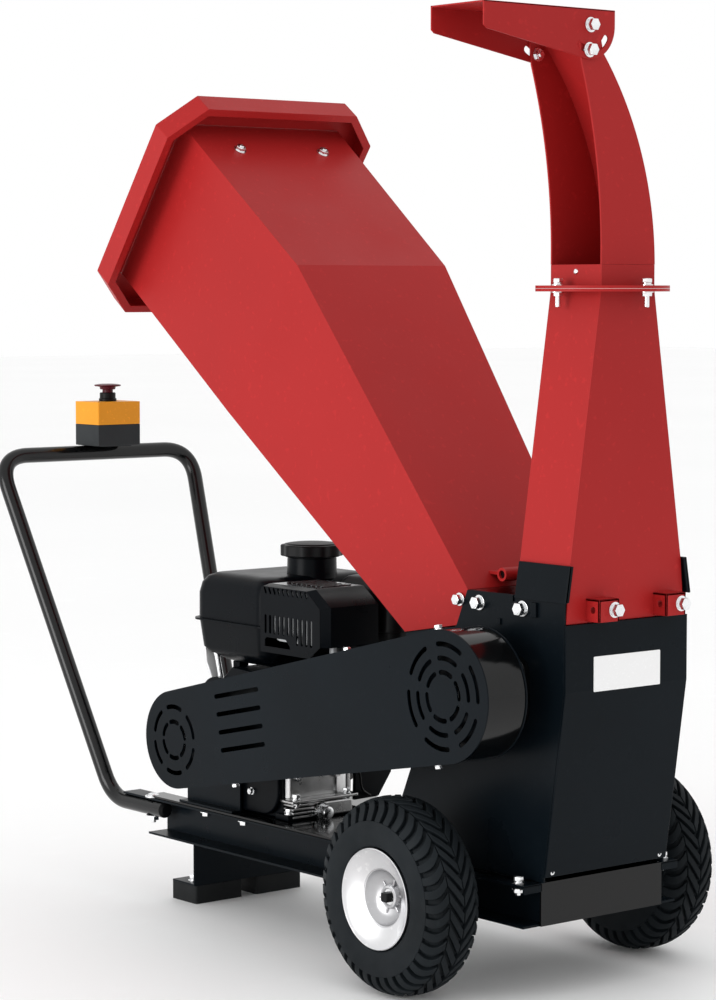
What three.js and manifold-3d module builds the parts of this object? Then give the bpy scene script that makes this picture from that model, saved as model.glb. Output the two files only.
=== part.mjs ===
// Petrol wood chipper: wheeled frame, belt-driven rotor, feed hopper and turning discharge chute.
// Millimetres. X across (the belt side is -X), Y from the discharge end (-Y) to the handle (+Y), Z up.
// Places are given from the point on the ground below the axle; the last lines move that to the origin.
import * as THREE from "three";
import { mergeVertices } from "three/addons/utils/BufferGeometryUtils.js";
import Module from "manifold-3d";

const wasm = await Module();
wasm.setup();

// ---- Driving dimensions -------------------------------------------------------------------------
const GAP = 0.3; // clearance between pieces that touch
const SHEET = 3; // frame and housing sheet
const SKIN = 2.5; // hopper and chute sheet

const WHEEL_R = 130;
const WHEEL_W = 84;
const TRACK = 424;
const RIM_R = 66;
const AXLE_R = 10;
const AXLE_END = TRACK / 2 + 15;

const WEB_X = 102; // outer face of a rail's web
const RAIL_Z0 = 101;
const RAIL_Z1 = 154;
const FLANGE_TOP_X = 130;
const FLANGE_LOW_X = 136;
const RAIL_FRONT = -154.7;
const RAIL_REAR = 675;
const RAIL_TAIL = 750; // end of the top flange that the handle is bolted to
const DECK_TOP = RAIL_Z1 + GAP + SHEET;

const FOOT = { x: 56, y: 637, w: 86, d: 62, h: 27 };
const LEG_Y = 606;

const HOUSE_X = 108; // outer face of a housing side plate
const DRUM = { y: -89, z: 399, r: 84, w: 190 };
const SHAFT_R = 15;

const CRANK = { y: 497, z: 272, r: 10 };
const GUARD_OUT = -215;
const GUARD_BACK = -150;
const GUARD_R = { drum: 85.5, crank: 70 };
const PULLEY = { drum: 70, crank: 50, x: -183, half: 13 };

const CHUTE = { y: -151, half: 47, flangeZ: 909.7, flangeR: 86, flangeT: 3.7 };
const CHUTE_FOOT_Z = 491.5;
const CLAMP = { x: [-53, 66], half: 17.5, deep: 24, z0: 494, z1: 523 }; // brackets on its front
const TILT_PIVOT = { x: -71.5, z: 1240.6, r: 42.5 };
const SPOUT = { endX: -248, roof: 1260.5, t: 2.2 };

const MOUTH = { y: 650.6, z: 1044, tilt: 36.3, w: 143, h: 132 };
const RIM_FRAME = { w: 187, h: 180, cut: 51, deep: 35, lip: 12 };
const HINGE = { y: -38, z: 541, r: 9, bore: 5.6, x: 70, lug: 9 }; // x: a tube's outer end

const TUBE_R = 12;
const GRIP = { x: 185, y: 1011, z: 652 }; // corner of the handle's crossbar, before its bend
const STUB = { x: 123.6, y: 788, z: 138.5, end: 650 }; // corner and end of the handle's lower stub

// ---- Colours ------------------------------------------------------------------------------------
const finish = (color, roughness, metalness) => ({ color, roughness, metalness });
const RED = finish(0xb82c2a, 0.45, 0.1);
const BLACK = finish(0x1c1f21, 0.4, 0.2);
const DARK = finish(0x121416, 0.6, 0.0);
const ZINC = finish(0xc9ccd0, 0.3, 0.9);
const ALLOY = finish(0xa9adb0, 0.45, 0.8);
const STEEL = finish(0x8a8f94, 0.35, 0.9);
const RUBBER = finish(0x1a1b1c, 0.85, 0.0);
const WHITE = finish(0xd9dbdc, 0.35, 0.2);
const YELLOW = finish(0xe8a626, 0.5, 0.0);
const GREY = finish(0x2b2e31, 0.55, 0.0);
const CRIMSON = finish(0x7a0f16, 0.35, 0.0);

// ---- Shape helpers ------------------------------------------------------------------------------
const radians = THREE.MathUtils.degToRad;
const root = new THREE.Group();

function solid(geometry) {
  const bare = geometry.clone();
  bare.deleteAttribute("normal");
  bare.deleteAttribute("uv");
  const merged = mergeVertices(bare, 1e-4);
  return new wasm.Manifold(
    new wasm.Mesh({
      numProp: 3,
      vertProperties: merged.attributes.position.array,
      triVerts: new Uint32Array(merged.index.array),
    }),
  );
}

function geometryOf(body) {
  const mesh = body.getMesh();
  const geometry = new THREE.BufferGeometry();
  geometry.setAttribute("position", new THREE.BufferAttribute(mesh.vertProperties, 3));
  geometry.setIndex(new THREE.BufferAttribute(mesh.triVerts, 1));
  geometry.computeVertexNormals();
  return geometry;
}

const join = (...bodies) => bodies.reduce((a, b) => a.add(b));
const cut = (body, ...tools) => tools.reduce((a, b) => a.subtract(b), body);

function add(parent, name, body, look, position = [0, 0, 0]) {
  const mesh = new THREE.Mesh(geometryOf(body), new THREE.MeshStandardMaterial(look));
  mesh.name = name;
  mesh.position.set(...position);
  parent.add(mesh);
  return mesh;
}

function group(position = [0, 0, 0], turn = [0, 0, 0]) {
  const made = new THREE.Group();
  made.position.set(...position);
  made.rotation.set(...turn);
  root.add(made);
  return made;
}

const shapeOf = (points) => new THREE.Shape(points.map(([a, b]) => new THREE.Vector2(a, b)));

function extrude(shape, depth, curveSegments = 12) {
  return new THREE.ExtrudeGeometry(shape, { depth, bevelEnabled: false, curveSegments });
}

// A [y, z] outline extruded from x0 to x1.
function alongX(shape, x0, x1, curveSegments) {
  const geometry = extrude(shape, x1 - x0, curveSegments);
  const place = new THREE.Matrix4().makeBasis(
    new THREE.Vector3(0, 1, 0),
    new THREE.Vector3(0, 0, 1),
    new THREE.Vector3(1, 0, 0),
  );
  return solid(geometry.applyMatrix4(place).translate(x0, 0, 0));
}

// An [x, z] outline extruded from y0 to y1.
function alongY(shape, y0, y1, curveSegments) {
  const geometry = extrude(shape, y1 - y0, curveSegments);
  return solid(geometry.rotateX(Math.PI / 2).translate(0, y1, 0));
}

// An [x, y] outline extruded from z0 to z1.
function alongZ(shape, z0, z1, curveSegments) {
  return solid(extrude(shape, z1 - z0, curveSegments).translate(0, 0, z0));
}

function box(x0, x1, y0, y1, z0, z1) {
  const geometry = new THREE.BoxGeometry(x1 - x0, y1 - y0, z1 - z0);
  return solid(geometry.translate((x0 + x1) / 2, (y0 + y1) / 2, (z0 + z1) / 2));
}

// A round bar along "x", "y" or "z" from a to b, centred on the other two coordinates.
function bar(axis, r, a, b, [u, v] = [0, 0], sides = 20) {
  const geometry = new THREE.CylinderGeometry(r, r, b - a, sides).translate(0, (a + b) / 2, 0);
  if (axis === "x") geometry.rotateZ(-Math.PI / 2).translate(0, u, v);
  if (axis === "y") geometry.translate(u, 0, v);
  if (axis === "z") geometry.rotateX(Math.PI / 2).translate(u, v, 0);
  return solid(geometry);
}

// A profile of [radius, height] turned round the X axis, its height running along +X.
function turnedX(profile, sides = 32) {
  const points = profile.map(([r, h]) => new THREE.Vector2(r, h));
  return solid(new THREE.LatheGeometry(points, sides).rotateZ(-Math.PI / 2));
}

function turnedZ(profile, sides = 32) {
  const points = profile.map(([r, h]) => new THREE.Vector2(r, h));
  return solid(new THREE.LatheGeometry(points, sides).rotateX(Math.PI / 2));
}

function roundedRect(w, h, r) {
  const shape = new THREE.Shape();
  const [a, b] = [w / 2, h / 2];
  shape.moveTo(-a + r, -b).lineTo(a - r, -b).absarc(a - r, -b + r, r, -Math.PI / 2, 0);
  shape.lineTo(a, b - r).absarc(a - r, b - r, r, 0, Math.PI / 2);
  shape.lineTo(-a + r, b).absarc(-a + r, b - r, r, Math.PI / 2, Math.PI);
  shape.lineTo(-a, -b + r).absarc(-a + r, -b + r, r, Math.PI, 1.5 * Math.PI);
  return shape;
}

function disc(r, [u, v] = [0, 0]) {
  return new THREE.Shape().absarc(u, v, r, 0, 2 * Math.PI);
}

// The outline of an open belt: two circles and the outer tangents between them.
function beltOutline(a, ra, b, rb) {
  const [dy, dz] = [b.y - a.y, b.z - a.z];
  const along = Math.atan2(dz, dy);
  const lean = Math.acos((ra - rb) / Math.hypot(dy, dz));
  const shape = new THREE.Shape();
  shape.absarc(a.y, a.z, ra, along + lean, along - lean + 2 * Math.PI);
  shape.absarc(b.y, b.z, rb, along - lean, along + lean);
  return shape;
}

// A curved slot of the given width on a circle round [u, v], as an outline with flat ends.
function arcSlot([u, v], r, width, from, to) {
  const shape = new THREE.Shape();
  shape.absarc(u, v, r + width / 2, from, to);
  shape.absarc(u, v, r - width / 2, to, from, true);
  return shape;
}

// A solid through four-sided rings of points, each ring [[x, y, z] x 4] wound alike.
function loft(rings) {
  const positions = rings.flat(2);
  const index = [];
  rings.slice(1).forEach((_, k) => {
    for (let i = 0; i < 4; i++) {
      const [a, b] = [4 * k + i, 4 * k + ((i + 1) % 4)];
      index.push(a, b, b + 4, a, b + 4, a + 4);
    }
  });
  const last = 4 * (rings.length - 1);
  index.push(0, 2, 1, 0, 3, 2, last, last + 1, last + 2, last, last + 2, last + 3);
  const geometry = new THREE.BufferGeometry();
  geometry.setAttribute("position", new THREE.Float32BufferAttribute(positions, 3));
  geometry.setIndex(index);
  return solid(geometry);
}

// A path that runs straight between points, with one step of an extrusion to each stretch.
class Stretches extends THREE.Curve {
  constructor(points) {
    super();
    this.points = points;
  }

  getPoint(t) {
    const place = t * (this.points.length - 1);
    const i = Math.max(0, Math.min(this.points.length - 2, Math.floor(place)));
    return this.points[i].clone().lerp(this.points[i + 1], place - i);
  }

  getUtoTmapping(u) {
    return u;
  }
}

// Corner points with each inner corner rounded over the given tangent length.
function rounded(corners, tangents, steps = 6) {
  const bends = tangents.map((length, i) => {
    const corner = corners[i + 1];
    const back = corners[i].clone().sub(corner).setLength(length).add(corner);
    const ahead = corners[i + 2].clone().sub(corner).setLength(length).add(corner);
    return new THREE.QuadraticBezierCurve3(back, corner, ahead).getPoints(steps);
  });
  return [corners[0], ...bends.flat(), corners[corners.length - 1]];
}

const mirrorX = (body) => body.mirror([1, 0, 0]);

// ---- Frame --------------------------------------------------------------------------------------
// A rail is a channel that opens outwards, with a longer top flange for the handle.
function rail() {
  const web = WEB_X - SHEET;
  const profile = shapeOf([
    [web, RAIL_Z0], [FLANGE_LOW_X, RAIL_Z0], [FLANGE_LOW_X, RAIL_Z0 + SHEET],
    [WEB_X, RAIL_Z0 + SHEET], [WEB_X, RAIL_Z1 - SHEET], [FLANGE_TOP_X, RAIL_Z1 - SHEET],
    [FLANGE_TOP_X, RAIL_Z1], [web, RAIL_Z1],
  ]);
  return cut(
    join(
      alongY(profile, RAIL_FRONT, RAIL_REAR),
      box(web, FLANGE_TOP_X, RAIL_REAR - 5, RAIL_TAIL, RAIL_Z1 - SHEET, RAIL_Z1),
    ),
    bar("x", AXLE_R + GAP, 0, TRACK / 2, [0, WHEEL_R]),
  );
}

// The deck is one bent plate: it lies on the rails, and its front edge turns down to the rails' feet.
function deck() {
  const front = RAIL_FRONT - GAP;
  const [edge, notch] = [FLANGE_TOP_X - 2, WEB_X - 4];
  const [flare, neck, tail] = [160, 610, 690];
  const outline = shapeOf([
    [-HOUSE_X, front - SHEET], [HOUSE_X, front - SHEET], [edge, flare], [edge, tail], [notch, tail],
    [notch, neck], [-notch, neck], [-notch, tail], [-edge, tail], [-edge, flare],
  ]);
  const apron = box(-HOUSE_X, HOUSE_X, front - SHEET, front, RAIL_Z0, DECK_TOP - 0.5);
  return join(alongZ(outline, RAIL_Z1 + GAP, DECK_TOP), apron);
}

// The rear leg is a folded plate under the rails, standing on two rubber feet.
function rearLeg() {
  const top = RAIL_Z0 - GAP;
  const bottom = FOOT.h + GAP;
  const [toe, shelf] = [LEG_Y + 56, LEG_Y + 50];
  const profile = shapeOf([
    [LEG_Y, bottom], [toe, bottom], [toe, bottom + SHEET], [LEG_Y + SHEET, bottom + SHEET],
    [LEG_Y + SHEET, top - SHEET], [shelf, top - SHEET], [shelf, top], [LEG_Y, top],
  ]);
  return alongX(profile, -WEB_X, WEB_X);
}

function foot() {
  return alongZ(roundedRect(FOOT.w, FOOT.d, 4), 0, FOOT.h, 3);
}

function handleTube() {
  const at = (x, p) => new THREE.Vector3(x, p.y, p.z);
  const corners = [
    new THREE.Vector3(-STUB.x, STUB.end, STUB.z), at(-STUB.x, STUB), at(-GRIP.x, GRIP),
    at(GRIP.x, GRIP), at(STUB.x, STUB), new THREE.Vector3(STUB.x, STUB.end, STUB.z),
  ];
  const points = rounded(corners, [38, 55, 55, 38]);
  const sides = 12;
  const section = new THREE.Shape(
    Array.from({ length: sides }, (_, i) => {
      const a = (i / sides) * 2 * Math.PI;
      return new THREE.Vector2(TUBE_R * Math.cos(a), TUBE_R * Math.sin(a));
    }),
  );
  const options = { steps: points.length - 1, extrudePath: new Stretches(points), bevelEnabled: false };
  return solid(new THREE.ExtrudeGeometry(section, options));
}

function addFrame() {
  const place = group();
  add(place, "rail_right", rail(), BLACK);
  add(place, "rail_left", mirrorX(rail()), BLACK);
  add(place, "deck_plate", deck(), BLACK);
  add(place, "rear_leg", rearLeg(), BLACK);
  add(place, "foot_left", foot(), RUBBER, [-FOOT.x, FOOT.y, 0]);
  add(place, "foot_right", foot(), RUBBER, [FOOT.x, FOOT.y, 0]);
  add(place, "axle", bar("x", AXLE_R, -AXLE_END, AXLE_END, [0, WHEEL_R]), STEEL);
  add(place, "handle_tube", handleTube(), BLACK);
}

// ---- Emergency stop on the crossbar -------------------------------------------------------------
const STOP = { y: 978, w: 80, d: 66, seat: GRIP.z + TUBE_R + GAP, split: 699, top: 735 };
const STEM_R = 8.5;
const STOP_KNOB = [[0, 705], [STEM_R, 705], [STEM_R, 754], [20.5, 756], [21, 758], [18, 761.5], [0, 763]];

function addStop() {
  const place = group([0, STOP.y, 0]);
  const block = roundedRect(STOP.w, STOP.d, 2);
  const plate = box(-26, 26, -STOP.d / 2 + 4, STOP.d / 2 + 14, STOP.seat, STOP.seat + 2);
  add(place, "stop_base", join(alongZ(block, STOP.seat + 1.5, STOP.split, 3), plate), GREY);
  const stem = bar("z", STEM_R + 0.8, STOP.split, STOP.top + 30, [0, 0], 16);
  add(place, "stop_cover", cut(alongZ(block, STOP.split + GAP, STOP.top, 3), stem), YELLOW);
  add(place, "stop_collar", cut(bar("z", 14, STOP.top + GAP, STOP.top + 14), stem), GREY);
  add(place, "stop_button", turnedZ(STOP_KNOB, 20), CRIMSON);
}

// ---- Wheels -------------------------------------------------------------------------------------
// Each wheel is modelled with its outer side towards +X.
const WHEEL_SIDES = 24;

function tyre() {
  const half = WHEEL_W / 2;
  return turnedX([
    [RIM_R + GAP, -30], [80, -37], [100, -half], [116, -half + 2], [WHEEL_R - 4, -half + 10],
    [WHEEL_R, -half + 20], [WHEEL_R, half - 20], [WHEEL_R - 4, half - 10], [116, half - 2],
    [100, half], [80, 37], [RIM_R + GAP, 30], [RIM_R + GAP, -30],
  ], WHEEL_SIDES);
}

function rim() {
  const bore = AXLE_R + GAP;
  return turnedX([
    [bore, -26], [20, -26], [20, 2], [34, 6], [38, 20], [61, 28], [RIM_R - 4, -30], [RIM_R, -32],
    [RIM_R, 43], [63, 43], [41, 27], [36, 25], [30, 12], [14, 9], [14, 14], [bore, 14], [bore, -26],
  ], WHEEL_SIDES);
}

function addWheel(name, side) {
  const place = group([(side * TRACK) / 2, 0, WHEEL_R], [0, 0, side > 0 ? 0 : Math.PI]);
  add(place, "tyre_" + name, tyre(), RUBBER);
  add(place, "rim_" + name, rim(), WHITE);
}

// The cap screw in the axle's end keeps the wheel on.
function addAxleScrew(name, side) {
  const place = group([side * (AXLE_END + GAP), 0, WHEEL_R], [0, 0, side > 0 ? 0 : Math.PI]);
  add(place, "axle_screw_" + name, join(bar("x", 15, 0, 2.5), bar("x", 9, 2, 9, [0, 0], 6)), ZINC);
}

// ---- Rotor housing ------------------------------------------------------------------------------

function housingSide() {
  const foot = DECK_TOP + GAP;
  const outline = shapeOf([
    [-162, foot], [152, foot], [101, 272], [112, 453.6], [9.4, 471.4], [-13, 521.5], [-109, 523],
    [-109, 565], [-203, 565], [-203, 525], [-198, 505], [-198, 406], [-162, 165],
  ]);
  const side = alongX(outline, HOUSE_X - SHEET, HOUSE_X);
  return cut(side, bar("x", SHAFT_R + 2, 0, 200, [DRUM.y, DRUM.z]));
}

// The front panel hangs vertically below the chute and then slopes back to the deck.
function frontPanel() {
  const outline = shapeOf([
    [-201.3, CHUTE_FOOT_Z - GAP], [-201.3, 406], [-165.3, 165], [-162.4, 165], [-198.3, 406.2],
    [-198.3, CHUTE_FOOT_Z - GAP],
  ]);
  return alongX(outline, -HOUSE_X, HOUSE_X);
}

function rearPanel() {
  const outline = shapeOf([
    [109, 440], [98, 272], [146, 166], [149, 166], [101.5, 272], [112, 440],
  ]);
  return alongX(outline, -HOUSE_X + SHEET + GAP, HOUSE_X - SHEET - GAP);
}

// The plate over the rotor carries the hopper's hinge: one lug with a long pin through it.
function hingePlate() {
  const inner = HOUSE_X - SHEET - GAP;
  const plate = box(-inner, inner, CHUTE.y + CHUTE.half + 4, -16, 519, 522);
  const pin = bar("x", HINGE.bore - 0.6, -HINGE.x + 3, HINGE.x - 3, [HINGE.y, HINGE.z], 16);
  const lug = box(-HINGE.lug, HINGE.lug, HINGE.y - 9, HINGE.y + 9, 521, HINGE.z + 7);
  return join(plate, pin, lug);
}

// The casing wraps the lower half of the rotor and rises to the hopper's floor.
function rotorCasing() {
  const [r, t] = [DRUM.r + 14, SKIN];
  const from = radians(186);
  const to = radians(338);
  const wrap = arcSlot([DRUM.y, DRUM.z], r + t / 2, t, from, to);
  const inner = HOUSE_X - SHEET - GAP;
  const start = [DRUM.y + r * Math.cos(to), DRUM.z + r * Math.sin(to)];
  const floor = shapeOf([
    [start[0] + 0.5, start[1] - 1], [start[0] + 4, start[1] - 1], [106, 446], [104, 448],
    [start[0] - 1, start[1] + 3],
  ]);
  return join(alongX(wrap, -inner, inner, 20), alongX(floor, -inner, inner));
}

function addHousing() {
  const place = group();
  add(place, "housing_side_right", housingSide(), BLACK);
  add(place, "housing_side_left", mirrorX(housingSide()), BLACK);
  add(place, "front_panel", frontPanel(), BLACK);
  add(place, "rear_panel", rearPanel(), BLACK);
  add(place, "hinge_plate", hingePlate(), BLACK);
  add(place, "rotor_casing", rotorCasing(), BLACK);
}

// ---- Rotor, its shaft and blades ----------------------------------------------------------------
const BLADE = { long: 180, wide: 34, thick: 7 };

function rotor() {
  const body = bar("x", DRUM.r - 6, -DRUM.w / 2, DRUM.w / 2, [0, 0], 36);
  const bore = bar("x", SHAFT_R + GAP, -DRUM.w, DRUM.w);
  const pocket = box(-DRUM.w, DRUM.w, -26, 26, DRUM.r - 20, DRUM.r + 10);
  const paddle = box(-DRUM.w / 2, DRUM.w / 2, DRUM.r - 16, DRUM.r + 8, -4, 4);
  const paddles = join(paddle, paddle.mirror([0, 1, 0]));
  return cut(join(body, paddles), bore, pocket, pocket.mirror([0, 0, 1]));
}

// A bevelled knife lies in each flat pocket of the rotor, its edge just proud of the drum.
function blade() {
  const [w, t] = [BLADE.wide / 2, BLADE.thick];
  const seat = DRUM.r - 20 + GAP;
  const profile = shapeOf([[-w, seat], [w, seat], [w + 6, seat + t], [-w, seat + t]]);
  return alongX(profile, -BLADE.long / 2, BLADE.long / 2);
}

// A flanged bearing sits outside each side plate.
function bearing() {
  const plate = alongX(roundedRect(92, 92, 22), HOUSE_X + GAP, HOUSE_X + 9, 3);
  const boss = bar("x", 30, HOUSE_X + 8, HOUSE_X + 27);
  return cut(join(plate, boss), bar("x", SHAFT_R + GAP, 0, 200));
}

function pulley(r, bore) {
  const { half } = PULLEY;
  return turnedX([
    [bore, -half], [r, -half], [r, -8], [r - 11, -5], [r - 11, 5], [r, 8], [r, half], [bore, half],
    [bore, -half],
  ], 24);
}

function addRotor() {
  const place = group([0, DRUM.y, DRUM.z]);
  add(place, "rotor_drum", rotor(), STEEL);
  add(place, "rotor_shaft", bar("x", SHAFT_R, PULLEY.x - PULLEY.half - 6, HOUSE_X + 34), STEEL);
  add(place, "blade_upper", blade(), ALLOY);
  add(place, "blade_lower", blade().mirror([0, 0, 1]).mirror([0, 1, 0]), ALLOY);
  add(place, "bearing_right", bearing(), BLACK);
  add(place, "bearing_left", mirrorX(bearing()), BLACK);
  add(place, "rotor_pulley", pulley(PULLEY.drum, SHAFT_R + GAP), STEEL, [PULLEY.x, 0, 0]);
}

// The fixed counter blade stands across the feed opening, a little clear of the rotor's blades.
function addAnvil() {
  const inner = HOUSE_X - SHEET - GAP;
  const outline = shapeOf([[8, 376], [18, 380], [30, 412], [24, 414], [6, 402]]);
  add(group(), "anvil", alongX(outline, -inner, inner), ALLOY);
}

// ---- Belt drive and guard -----------------------------------------------------------------------
const SLOT_W = 6.5;
const VENTS = [[DRUM, 31], [DRUM, 49], [DRUM, 67], [CRANK, 26], [CRANK, 47.5]]; // centre and radius
const VENT_COUNT = 6;

function ventRing([centre, r]) {
  const step = (2 * Math.PI) / VENT_COUNT;
  const span = step * 0.62;
  return Array.from({ length: VENT_COUNT }, (_, i) => {
    const start = i * step + radians(8);
    return arcSlot([centre.y, centre.z], r, SLOT_W, start, start + span);
  });
}

function guardSlots() {
  const fall = Math.atan2(DRUM.z - CRANK.z, DRUM.y - CRANK.y);
  const [cy, cz] = [Math.cos(fall), Math.sin(fall)];
  return [0, 1, 2, 3].map((i) => {
    const [y, z] = [349 - 5 * i, 355.6 - 24.7 * i];
    const corner = (u, v) => [y + u * cy - v * cz, z + u * cz + v * cy];
    const [a, b] = [51, SLOT_W / 2];
    return shapeOf([corner(-a, -b), corner(a, -b), corner(a, b), corner(-a, b)]);
  });
}

function guardCover() {
  const wall = (grow, x0, x1) =>
    alongX(beltOutline(DRUM, GUARD_R.drum + grow, CRANK, GUARD_R.crank + grow), x0, x1, 12);
  const shell = cut(wall(0, GUARD_OUT, GUARD_BACK - GAP), wall(-2, GUARD_OUT + 2, GUARD_BACK));
  const vents = [...VENTS.flatMap(ventRing), ...guardSlots()];
  return cut(shell, ...vents.map((shape) => alongX(shape, GUARD_OUT - 5, GUARD_OUT + 5, 2)));
}

function guardBack() {
  const outline = beltOutline(DRUM, GUARD_R.drum, CRANK, GUARD_R.crank);
  const plate = alongX(outline, GUARD_BACK, GUARD_BACK + 2.5, 12);
  const hole = (at, r) => bar("x", r, GUARD_BACK - 10, GUARD_BACK + 10, [at.y, at.z]);
  return cut(plate, hole(DRUM, SHAFT_R + 3), hole(CRANK, CRANK.r + 3));
}

function belt() {
  const loop = (grow) => beltOutline(DRUM, PULLEY.drum + grow, CRANK, PULLEY.crank + grow);
  const outer = alongX(loop(1), PULLEY.x - 5.2, PULLEY.x + 5.2, 11);
  return cut(outer, alongX(loop(-7.5), PULLEY.x - 10, PULLEY.x + 10, 11));
}

// The bracket stands on the deck and carries the guard's back plate on two spacers.
function guardBracket() {
  const x = -HOUSE_X - SHEET;
  const [y0, y1] = [480, 610];
  const plate = box(x, x + SHEET, y0, y1, DECK_TOP + GAP, 322);
  const foot = box(x - 15, x + SHEET, y0, y1, DECK_TOP + GAP, DECK_TOP + GAP + SHEET);
  const spacer = (y, z) => bar("x", 8, GUARD_BACK + 2.5 + GAP, x + 1, [y, z], 16);
  const opening = bar("x", 47, x - 10, x + 10, [CRANK.y, CRANK.z]);
  return cut(join(plate, foot, spacer(520, 214), spacer(560, 230), spacer(554, 308)), opening);
}

function addDrive() {
  const place = group();
  add(place, "belt_guard_cover", guardCover(), BLACK);
  add(place, "belt_guard_back", guardBack(), BLACK);
  add(place, "guard_bracket", guardBracket(), BLACK);
  add(place, "v_belt", belt(), RUBBER);
  const shaft = group([0, CRANK.y, CRANK.z]);
  add(shaft, "engine_pulley", pulley(PULLEY.crank, CRANK.r + GAP), STEEL, [PULLEY.x, 0, 0]);
  add(shaft, "crankshaft", bar("x", CRANK.r, PULLEY.x - PULLEY.half - 6, 88), STEEL);
}

// ---- Engine -------------------------------------------------------------------------------------
const CASE = { x0: -96, x1: 30, front: 372, rear: 592 };
const TANK = { x0: -103, x1: 112, y0: 425, y1: 608, z0: 369, z1: 499, seam: 430 };
const DRAIN = { x: -50, z: 178, r: 8 };
const CYLINDER = { lean: 22, x: -34, w: 108, h: 72, from: 118, to: 205 };

function crankcase() {
  const foot = DECK_TOP + GAP;
  const outline = shapeOf([
    [CASE.front, foot], [CASE.rear, foot], [CASE.rear, 200], [597, 272], [572, 345], [520, 364],
    [432, 360], [404, 336], [396, 215], [CASE.front, 205],
  ]);
  const boss = bar("x", 44, CASE.x0 - 12, CASE.x0 + 2, [CRANK.y, CRANK.z], 28);
  const post = (x, y) => box(x, x + 18, y, y + 16, 340, TANK.z0 - GAP);
  const posts = [post(-70, 446), post(-70, 536), post(4, 446), post(4, 536)];
  return cut(
    join(alongX(outline, CASE.x0, CASE.x1), boss, ...posts),
    bar("x", CRANK.r + GAP, -200, 200, [CRANK.y, CRANK.z]),
    bar("y", DRAIN.r + GAP, CASE.front - 10, CASE.front + 14, [DRAIN.x, DRAIN.z], 16),
  );
}

function drainPlug() {
  const at = [DRAIN.x, DRAIN.z];
  const thread = bar("y", DRAIN.r, CASE.front - 6, CASE.front + 12, at, 16);
  const washer = bar("y", 13, CASE.front - GAP - 3, CASE.front - GAP, at, 24);
  const head = bar("y", 10, CASE.front - 16, CASE.front - GAP - 2, at, 6);
  return join(thread, washer, head);
}

// The cylinder, built lying along +Y of its own group: a square core with cooling fins round it.
function cylinder() {
  const { w, h, from, to } = CYLINDER;
  const core = box(-w / 2 + 16, w / 2 - 16, from, to, -h / 2 + 12, h / 2 - 12);
  const fins = Array.from({ length: 7 }, (_, i) => {
    const y = from + 6 + i * 12.4;
    return box(-w / 2, w / 2, y, y + 3, -h / 2, h / 2);
  });
  const head = box(-w / 2 + 4, w / 2 - 4, to - 4, to + 16, -h / 2 + 2, h / 2 - 2);
  return join(core, ...fins, head);
}

function valveCover() {
  const { w, h, to } = CYLINDER;
  return alongY(roundedRect(w - 26, h - 14, 12), to + 16 + GAP, to + 42, 3);
}

const SHROUD = { x0: CASE.x1 + GAP, x1: 92, r: 92 };

function fanShroud() {
  const outline = new THREE.Shape();
  outline.absarc(CRANK.y, CRANK.z, SHROUD.r, radians(-100), radians(96));
  outline.lineTo(420, 368).lineTo(300, 394).lineTo(266, 388).lineTo(266, 322).lineTo(380, 232);
  const inner = new THREE.Shape();
  inner.absarc(CRANK.y, CRANK.z, SHROUD.r - 4, radians(-98), radians(94));
  inner.lineTo(420, 364).lineTo(302, 389).lineTo(271, 384).lineTo(271, 325).lineTo(384, 236);
  return cut(
    alongX(outline, SHROUD.x0, SHROUD.x1, 12),
    alongX(inner, SHROUD.x0 - 5, SHROUD.x1 - 4, 12),
    bar("x", 60, SHROUD.x1 - 10, SHROUD.x1 + 10, [CRANK.y, CRANK.z], 20),
  );
}

// The rope leaves through a guide that stands out past the tank, so the grip is drawn straight up.
const STARTER = { x: 128, y: 412, z: 344 };

function recoilCover() {
  const dome = turnedX([[0, 0], [88, 0], [88, 14], [78, 26], [40, 32], [0, 32]], 24);
  const placed = dome.translate([SHROUD.x1 + GAP, CRANK.y, CRANK.z]);
  const guide = box(
    SHROUD.x1 + GAP, STARTER.x + 12, STARTER.y - 16, STARTER.y + 34, STARTER.z - 44, STARTER.z + 2,
  );
  const hollow = turnedX([[0, -1], [82, -1], [82, 12], [72, 22], [0, 27]], 24);
  const slots = Array.from({ length: 8 }, (_, i) => {
    const a = (i / 8) * 2 * Math.PI;
    return bar("x", 8, 0, 60, [54 * Math.cos(a), 54 * Math.sin(a)], 6);
  });
  const rope = bar("z", 2.6, STARTER.z - 60, STARTER.z + 20, [STARTER.x, STARTER.y], 10);
  const inside = join(hollow, ...slots).translate([SHROUD.x1 + GAP, CRANK.y, CRANK.z]);
  return cut(join(placed, guide), inside, rope);
}

// The pull grip with the first stretch of its rope, which runs down into the recoil cover.
function starterGrip() {
  const grip = alongX(roundedRect(62, 17, 8), -9, 9, 3);
  const rope = bar("z", 2, -50, 0, [0, 0], 10);
  return join(grip, rope).translate([STARTER.x, STARTER.y, STARTER.z + 11]);
}

const CAP = { x: 14, y: 470, neck: 36, rise: 24 };

// The tank's shape, drawn in by d all round: a side outline held within a rounded plan.
function tankShape(d) {
  const [y0, y1, z0, z1] = [TANK.y0 + d, TANK.y1 - d, TANK.z0 + d, TANK.z1 - d];
  const outline = shapeOf([
    [y0 + 12, z0], [y1 - 50, z0], [y1 - 26, z0 + 14], [y1 - 8, z0 + 22], [y1 - 4, TANK.seam],
    [y1 - 3, z1 - 30], [y1 - 14, z1 - 8], [y1 - 32, z1], [y0 + 14, z1], [y0, z1 - 14], [y0, z0 + 12],
  ]);
  const column = alongZ(tankPlan(-d), z0 - 5, z1 + 5, 3).translate(TANK_MIDDLE);
  return alongX(outline, TANK.x0 + d, TANK.x1 - d).intersect(column);
}

const TANK_MIDDLE = [(TANK.x0 + TANK.x1) / 2, (TANK.y0 + TANK.y1) / 2, 0];
const tankPlan = (grow) =>
  roundedRect(TANK.x1 - TANK.x0 + 2 * grow, TANK.y1 - TANK.y0 + 2 * grow, 26 + 0.7 * grow);

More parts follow.
